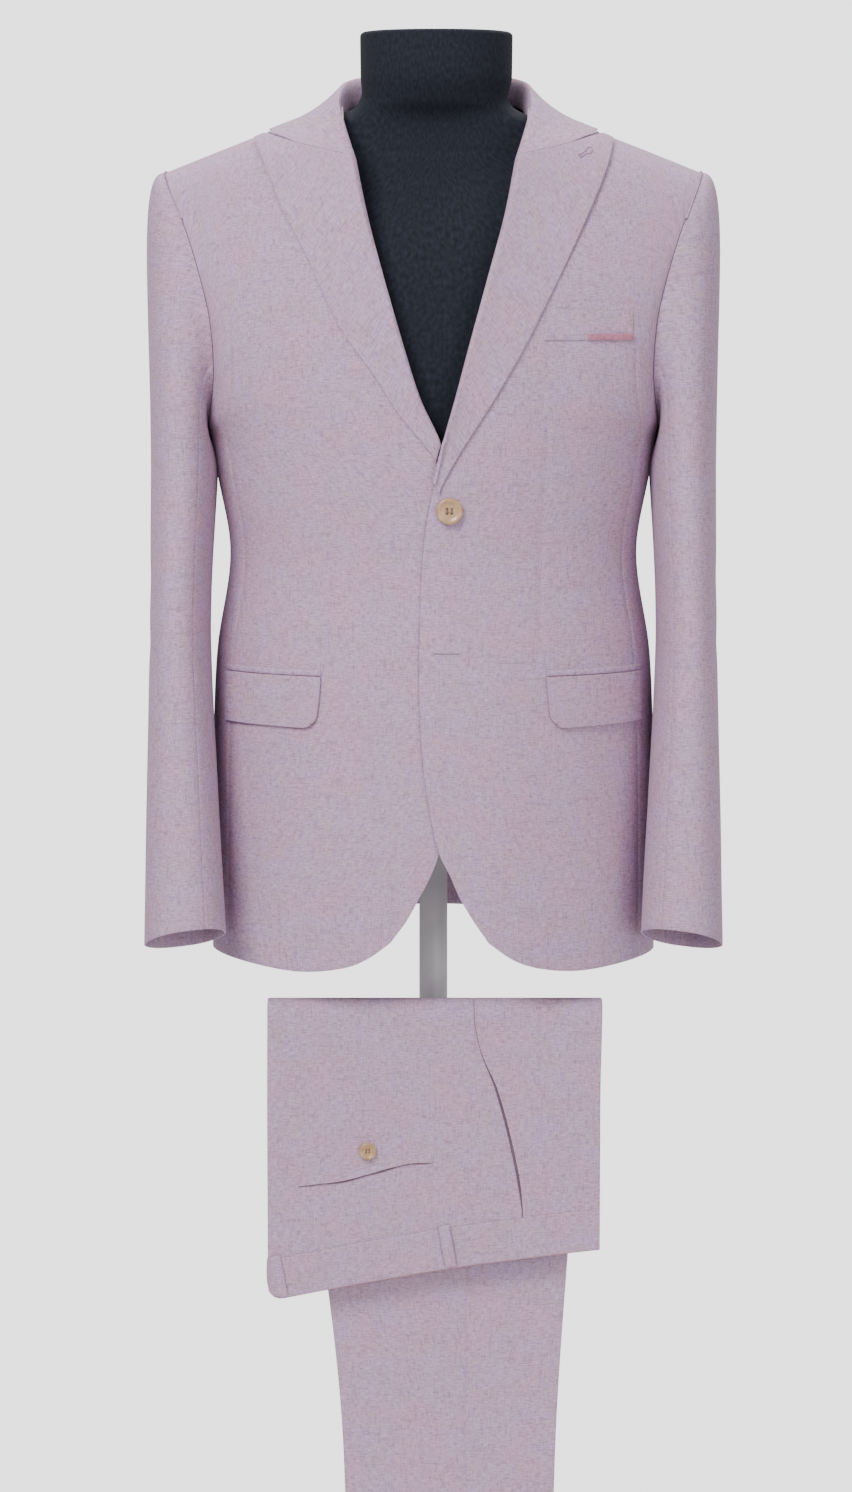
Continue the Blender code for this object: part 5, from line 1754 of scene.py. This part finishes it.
# distance behind the fold, left edge, right edge of the legs
LEG_TABLE = (
    (0.000, -0.1450, 0.1475),
    (0.110, -0.1200, 0.1300),
    (0.252, -0.0950, 0.1175),
    (0.418, -0.0795, 0.1080),
    (HEM_S, -0.0750, 0.1030),
)
WAIST_LEFT = (-0.1455, 0.2706)
WAIST_RIGHT = (0.1460, 0.2240)
BAND_HEIGHT = 0.0365
# distance in front of the fold, x of the pocket mouth and the side seam above it
POCKET_LINE = (
    (-0.300, 0.0860),
    (-0.180, 0.0770),
    (-0.130, 0.0680),
    (-0.080, 0.0545),
    (-0.050, 0.0420),
    (-0.025, 0.0365),
    (0.000, 0.0350),
    (0.250, 0.0250),
    (HEM_S, 0.0160),
)
FOLD_RADIUS = RAIL_RADIUS + STACK / 2
FOLD_QUARTER = math.pi / 2 * FOLD_RADIUS


print("tables of the folded legs:", len(LEG_TABLE), "rows")

# %% How the trousers hang
def drape(x, s, depth):
    """A point of the folded trousers: s runs from the fold, below 0 in front and above 0 behind."""
    radius = RAIL_RADIUS + depth
    if abs(s) < FOLD_QUARTER:
        turn = s / FOLD_RADIUS
        return Vector((x, RAIL_Y + radius * math.sin(turn), RAIL_Z + radius * math.cos(turn)))
    return Vector((x, RAIL_Y + math.copysign(radius, s), RAIL_Z - (abs(s) - FOLD_QUARTER)))


def waist_s(x, less=0.0):
    """Where the waistband's free edge lies, along the cloth, at a place across."""
    t = (x - WAIST_LEFT[0]) / (WAIST_RIGHT[0] - WAIST_LEFT[0])
    bow = 0.0040 * math.sin(math.pi * min(max(t, 0.0), 1.0))
    return -(WAIST_LEFT[1] + (WAIST_RIGHT[1] - WAIST_LEFT[1]) * t - bow - less)


def leg_edge(s, right):
    """The crease's x at a place along the cloth."""
    if s <= 0:
        top = LEG_TABLE[0][2 if right else 1]
        waist = (WAIST_RIGHT if right else WAIST_LEFT)[0]
        return top + (waist - top) * ease(-s / 0.10)
    return smooth(LEG_TABLE, s, 2 if right else 1)


def front_s(s, end):
    """Stretches the part that hangs in front so that it stops at its own end, below the bend."""
    if s >= -FOLD_QUARTER:
        return s
    return -FOLD_QUARTER + (s + FOLD_QUARTER) / (0.19 - FOLD_QUARTER) * (-end - FOLD_QUARTER)


def relief(x, s):
    """Soft waves of the hanging cloth, the same in every layer."""
    fade = ease((abs(s) - 0.020) / 0.060)
    slow = 0.0009 if s < 0 else 0.0016
    wave = slow * noise.noise(Vector((x * 9, s * 6, 31.0)))
    wave += 0.0004 * noise.noise(Vector((x * 24, s * 13, 7.0)))
    return wave * fade


cloth_length = HEM_S - waist_s(0.0)
print("trousers:", round(cloth_length, 3), "m from waist to hem along the side")

# %% [markdown]
# ## The four leg panels
# The outside leg seam shows on the near leg. Above the fold's front it opens into the slanted pocket:
# there the front panel's edge stands proud and the back panel dips under it, which leaves the dark line
# of the mouth, and a strip of dark pocketing laid in it adds painted shade. The back pocket's slit is a
# dip in the back panel under its welt.

# %% Leg panels
POCKET_SLIT = ((-0.1180, -0.1676), (-0.0783, -0.1626), (-0.0363, -0.1510), (-0.0201, -0.1474),
               (-0.0012, -0.1465))
PANEL_ROWS_FRONT = 62
PANEL_ROWS_FOLD = 16
PANEL_ROWS_BACK = 96


def cloth_places():
    """Places along the trousers: close over the rail, wide apart where the cloth hangs straight."""
    front = [-0.19 + (0.19 - FOLD_QUARTER) * k / PANEL_ROWS_FRONT for k in range(PANEL_ROWS_FRONT)]
    bend = [-FOLD_QUARTER + 2 * FOLD_QUARTER * k / PANEL_ROWS_FOLD for k in range(PANEL_ROWS_FOLD)]
    back = [FOLD_QUARTER + (HEM_S - FOLD_QUARTER) * k / PANEL_ROWS_BACK for k in range(PANEL_ROWS_BACK + 1)]
    return front + bend + back


def mouth(s):
    """How far the pocket's mouth is open at a place along the cloth, 0 to 1."""
    return ease((-s - 0.045) / 0.045) * ease((s + 0.200) / 0.040)


print("rows along a leg:", len(cloth_places()))

# %% One leg panel
def leg_panel(name, x_seam, right, outer, inner, wall, end, near, cut_at, nodes):
    """A panel from the outside leg seam round its crease and back to the inside leg seam."""
    sign = 1 if right else -1
    radius = (outer - inner) / 2
    rows, marks = [], []
    for s in cloth_places():
        row = []
        along = front_s(s, end(x_seam(max(s, -0.19)))) if s < 0 else s
        for k in range(1, 3):
            along = front_s(s, end(x_seam(along))) if s < 0 else s
        seam = x_seam(along)
        open_mouth = mouth(along) if near else 0.0
        gap = 0.0009 * open_mouth + 0.0002 * ease(-along / 0.01)
        crease = leg_edge(along, right) - sign * radius
        for j in range(25):
            t = (j / 24) ** 1.5
            x = seam + sign * gap + (crease - seam - sign * gap) * t
            off = abs(x - seam)
            lip = (0.0010 * open_mouth if right else -0.0007 * open_mouth) * math.exp(-off / 0.006)
            dip = -(0.0002 + 0.0006 * open_mouth) * math.exp(-off / 0.0008)
            row.append((x, outer + lip + dip, x))
        for k in range(1, 8):
            turn = math.pi * k / 8
            row.append((crease + sign * radius * math.sin(turn),
                        (outer + inner) / 2 + radius * math.cos(turn),
                        crease + sign * radius * turn))
        for j in range(11):
            across = crease + sign * (3 * radius + abs(seam - crease) * j / 10)
            row.append((crease + (seam - crease) * j / 10, inner, across))
        made_row = []
        marks.append([])
        for x, depth, across in row:
            here = front_s(s, end(x)) if s < 0 else s
            sunk = relief(x, here)
            if near and not right and here < 0:
                sunk -= slit_dip(x, here)
            made_row.append(drape(x, here, depth + sunk))
            marks[-1].append((across + cut_at, here))
        rows.append(made_row)
    made = cloth_piece(name, rows, suiting, thickness=wall, flip=not right, edge=0.0002,
                       grain=lambda i, j: marks[i][j])
    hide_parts(*nodes)
    return made


def slit_dip(x, s):
    """The back panel sinks a little along the waist side of the back pocket's slit."""
    middle = smooth(POCKET_SLIT, x)
    if not POCKET_SLIT[0][0] - 0.004 < x < POCKET_SLIT[-1][0] + 0.004:
        return 0.0
    ends = ease((x - POCKET_SLIT[0][0] + 0.004) / 0.012) * ease((POCKET_SLIT[-1][0] + 0.004 - x) / 0.012)
    off = middle - s
    return 0.0014 * ends * (math.exp(-(off / 0.0016) ** 2) if off < 0 else math.exp(-off / 0.004))


def near_seam(s):
    return smooth(POCKET_LINE, s)


FAR_SEAM_X = 0.0290


def far_seam(_):
    return FAR_SEAM_X


def body_end(x):
    """Where the panels stop and the waistband begins."""
    return waist_s(x, BAND_HEIGHT)


print("outside seam at the fold:", round(near_seam(0.0), 3), "m")

# %% Four leg panels
NEAR_INNER = 0.0034
FAR_OUTER = 0.0031
near_back = leg_panel("left_leg_back", near_seam, False, STACK, NEAR_INNER, LIGHT_CLOTH, body_end, True,
                      2.0, ("trouser_left_back", "trouser_inner_layers"))
near_front = leg_panel("left_leg_front", near_seam, True, STACK, NEAR_INNER, LIGHT_CLOTH, body_end, True,
                       3.0, ("trouser_left_front",))
far_back = leg_panel("right_leg_back", far_seam, False, FAR_OUTER, RAIL_GAP, 0.0011, body_end, False,
                     4.0, ("trouser_right_back",))
far_front = leg_panel("right_leg_front", far_seam, True, FAR_OUTER, RAIL_GAP, 0.0011, body_end, False,
                      5.0, ("trouser_right_front",))
print("leg panels: 4,", len(near_back.data.vertices), "points each")

# %% [markdown]
# ## Waistband and belt loops
# The band is one strip that goes round the waist, so here it is folded at the centre back and its two
# halves lie on each other. Its lining reaches a hair past the edge and shows as a coral line. Belt loops
# are narrow strips that are caught at both ends and arch between them.

# %% Waistband
BAND_PROUD = 0.0003
BAND_THICKNESS = 0.0016
CORNER_WIDTH = 0.0145
CORNER_RISE = 0.0135
LOOP_ARCH = 0.0020
LOOP_THICKNESS = 0.0012


def band_section(outer, inner, columns=70):
    """x and depth along the band: the near half, round the centre back, and the far half."""
    radius = (outer - inner) / 2
    left, right = WAIST_LEFT[0] + radius, WAIST_RIGHT[0]
    section = [(right + (left - right) * j / columns, outer) for j in range(columns + 1)]
    for k in range(1, 10):
        turn = math.pi * k / 10
        section.append((left - radius * math.sin(turn), (outer + inner) / 2 + radius * math.cos(turn)))
    section += [(left + (right - left) * j / 30, inner) for j in range(31)]
    return section


def band_place(x, height, depth, spare=0.0):
    """A point on the band; its lower corner at the centre back is rounded, since it rolls over there."""
    off = min(max(x - WAIST_LEFT[0], 0.0) / CORNER_WIDTH, 1.0)
    top = BAND_HEIGHT - CORNER_RISE * (1 - math.sqrt(1 - (1 - off) ** 2)) + spare
    s = waist_s(x, BAND_HEIGHT - height * top / BAND_HEIGHT)
    return drape(x, s, depth + relief(x, s))


def band_piece(name, outer, inner, low, high, lines, cloth, wall, spare=0.0, edge=0.0003, bow=0.0):
    section = band_section(outer, inner)
    rows = []
    for i in range(lines + 1):
        height = low + (high - low) * i / lines
        swell = bow * math.sin(math.pi * i / lines) ** 0.5
        rows.append([band_place(x, height, depth + swell if k < 76 else depth, spare)
                     for k, (x, depth) in enumerate(section)])
    return cloth_piece(name, rows, cloth, lining, wall, edge=edge, flip=False,
                       grain=lambda i, j: (0.0041 * j, 0.77 + 0.003 * i))


BAND_OUTER = STACK + BAND_PROUD
BAND_INNER = -BAND_PROUD
band = band_piece("waist_band", BAND_OUTER, BAND_INNER, 0.0, BAND_HEIGHT, 14, suiting, BAND_THICKNESS,
                  bow=0.0003)
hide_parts("waistband")
UNDER_BAND = BAND_THICKNESS + 0.0003
band_lining = band_piece("waist_band_lining", BAND_OUTER - UNDER_BAND, BAND_INNER + UNDER_BAND,
                         0.0010, BAND_HEIGHT, 14, facing, 0.0006, spare=0.0009, edge=0.0002)
print("waistband:", round(BAND_HEIGHT * 1000, 1), "mm deep, folded at the centre back")

# %% Belt loops
def belt_loop(name, node, x_low, x_high, slant, wrap=False):
    """A strip across the band: from just over its seam to its edge, leaning by slant."""
    rows = []
    lines = 18
    for i in range(lines + 1):
        v = i / lines
        height = -0.0030 + (BAND_HEIGHT + 0.0020) * v
        arch = LOOP_ARCH * math.sin(math.pi * v) ** 0.7
        depth = BAND_OUTER + LOOP_THICKNESS + (0.0003 + arch * 0.35 if wrap else 0.0006 + arch)
        shift = slant * v
        row = []
        if wrap:
            radius = (BAND_OUTER - BAND_INNER) / 2 + LOOP_THICKNESS + 0.0003 + arch * 0.35
            middle_x = WAIST_LEFT[0] + 0.0010 + (BAND_OUTER - BAND_INNER) / 2
            for k in range(13):
                turn = math.pi * k / 16
                x = middle_x - radius * math.sin(turn)
                row.append(band_place(x, height, (BAND_OUTER + BAND_INNER) / 2 + radius * math.cos(turn)))
            first = x_high + shift
            flat = [band_place(first + (middle_x - first) * j / 6, height, depth) for j in range(6)]
            row = flat + row
        else:
            for j in range(9):
                x = x_low + shift + (x_high - x_low) * j / 8
                crown = 0.0003 * math.sin(math.pi * j / 8) ** 0.6
                row.append(band_place(x, height, depth + crown))
        rows.append(row)
    made = cloth_piece(name, rows, suiting, thickness=LOOP_THICKNESS, flip=not wrap, edge=0.0004,
                       grain=lambda i, j: (0.52 + 0.0011 * j, 0.0022 * i))
    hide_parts(node)
    return made


side_loop = belt_loop("side_belt_loop", "belt_loop_side", 0.0041, 0.0139, 0.0068)
back_loop = belt_loop("back_belt_loop", "belt_loop_back", -0.1440, -0.1345, 0.0068, wrap=True)
print("belt loops: 2")

# %% [markdown]
# ## Back pocket and stitches
# The back pocket is a slit with a narrow welt on its waist side. The welt is a strip over the same
# surface, a hair proud of the panel, and the panel sinks under its free edge. A small tack closes the
# slit at one end, and a row of fine stitches runs beside the front pocket's mouth.

# %% Back pocket
WELT_HEIGHT = 0.0085
POCKET_BUTTON_AT = (-0.0575, -0.1360)
POCKET_BUTTON_RADIUS = 0.0077
POCKET_BUTTON_THICKNESS = 0.0028
POCKET_BUTTON_OFF = 0.0009


def leg_face(x, s, proud):
    """A place on the near leg's face, in front of the rail."""
    return drape(x, s, STACK + relief(x, s) + proud)


rows = []
for i in range(7):
    share = i / 6
    row = []
    for j in range(41):
        x = POCKET_SLIT[0][0] + (POCKET_SLIT[-1][0] - POCKET_SLIT[0][0]) * j / 40
        s = smooth(POCKET_SLIT, x) + WELT_HEIGHT * (1 - share)
        row.append(leg_face(x, s, 0.0001 + 0.0007 * ease(share)))
    rows.append(row)
pocket_welt = cloth_piece("back_pocket_strip", rows, suiting, thickness=0.0007, flip=True, edge=0.0003,
                          grain=lambda i, j: (0.0029 * j - 0.116, -0.19 + 0.0014 * i))
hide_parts("back_pocket_welt")
print("back pocket strip:", round(WELT_HEIGHT * 1000, 1), "mm deep")

# %% Pocket button and tack
x, s = POCKET_BUTTON_AT
pocket_button, pocket_threads, _ = horn_button("horn_pocket_button", "back_pocket_button",
                                               leg_face(x, s, POCKET_BUTTON_OFF), (0, -1, 0.02),
                                               POCKET_BUTTON_RADIUS, POCKET_BUTTON_THICKNESS)
tack_end = POCKET_SLIT[-1]
tack_corners = [(tack_end[0] - 0.0030, tack_end[1] + 0.0002), (tack_end[0] + 0.0004, tack_end[1] + 0.0006),
                (tack_end[0] + 0.0002, tack_end[1] + WELT_HEIGHT - 0.0006)]
tack = thread_line("back_pocket_tack", [leg_face(x, s, 0.0006) for x, s in tack_corners], 0.0003,
                   lilac_thread, purl=0.2)


def mouth_stitches():
    """Fine stitches down the front panel beside the pocket's mouth, sunk into the cloth."""
    points = []
    for k in range(40):
        s = -0.075 - 0.120 * k / 39
        x = near_seam(s) + 0.0062
        points.append(leg_face(x, s, 0.00012))
    return thread_line("pocket_mouth_stitches", points, 0.00016, lilac_thread, purl=0.35, pitch=0.0022)


mouth_row = mouth_stitches()


def pocket_inside(name, points, half_width):
    """The pocketing that shows inside a slit, its dark colour painted shade of the slit: a strip along points
    x, s that tapers to both ends.
    """
    rows = [[], [], []]
    for k, (x, s) in enumerate(points):
        t = k / (len(points) - 1)
        before, after = points[max(k - 1, 0)], points[min(k + 1, len(points) - 1)]
        along = Vector((after[0] - before[0], after[1] - before[1])).normalized()
        wide = half_width * math.sin(math.pi * min(max(t, 0.01), 0.99)) ** 0.8
        for row, side in zip(rows, (-1, 0, 1)):
            row.append(leg_face(x - along.y * wide * side, s + along.x * wide * side, SLIT_DEPTH))
    return cloth_piece(name, rows, pocketing_in_painted_shade, thickness=0.0003, flip=along.x > 0, edge=0)


SLIT_DEPTH = -0.0003
# painted shade: dark strips of pocketing laid in the back pocket's slit and the side pocket's mouth
back_slit = pocket_inside("back_pocket_inside", [
    (x, smooth(POCKET_SLIT, x) - 0.0005 + 0.0004 * math.sin(x * 180))
    for x in np.linspace(POCKET_SLIT[0][0] - 0.001, POCKET_SLIT[-1][0] + 0.001, 50)], 0.0008)
side_slit = pocket_inside("side_pocket_inside", [
    (near_seam(s), s) for s in np.linspace(-0.046, -0.198, 60)], 0.0010)
print("back pocket:", round((POCKET_SLIT[-1][0] - POCKET_SLIT[0][0]) * 1000), "mm wide")
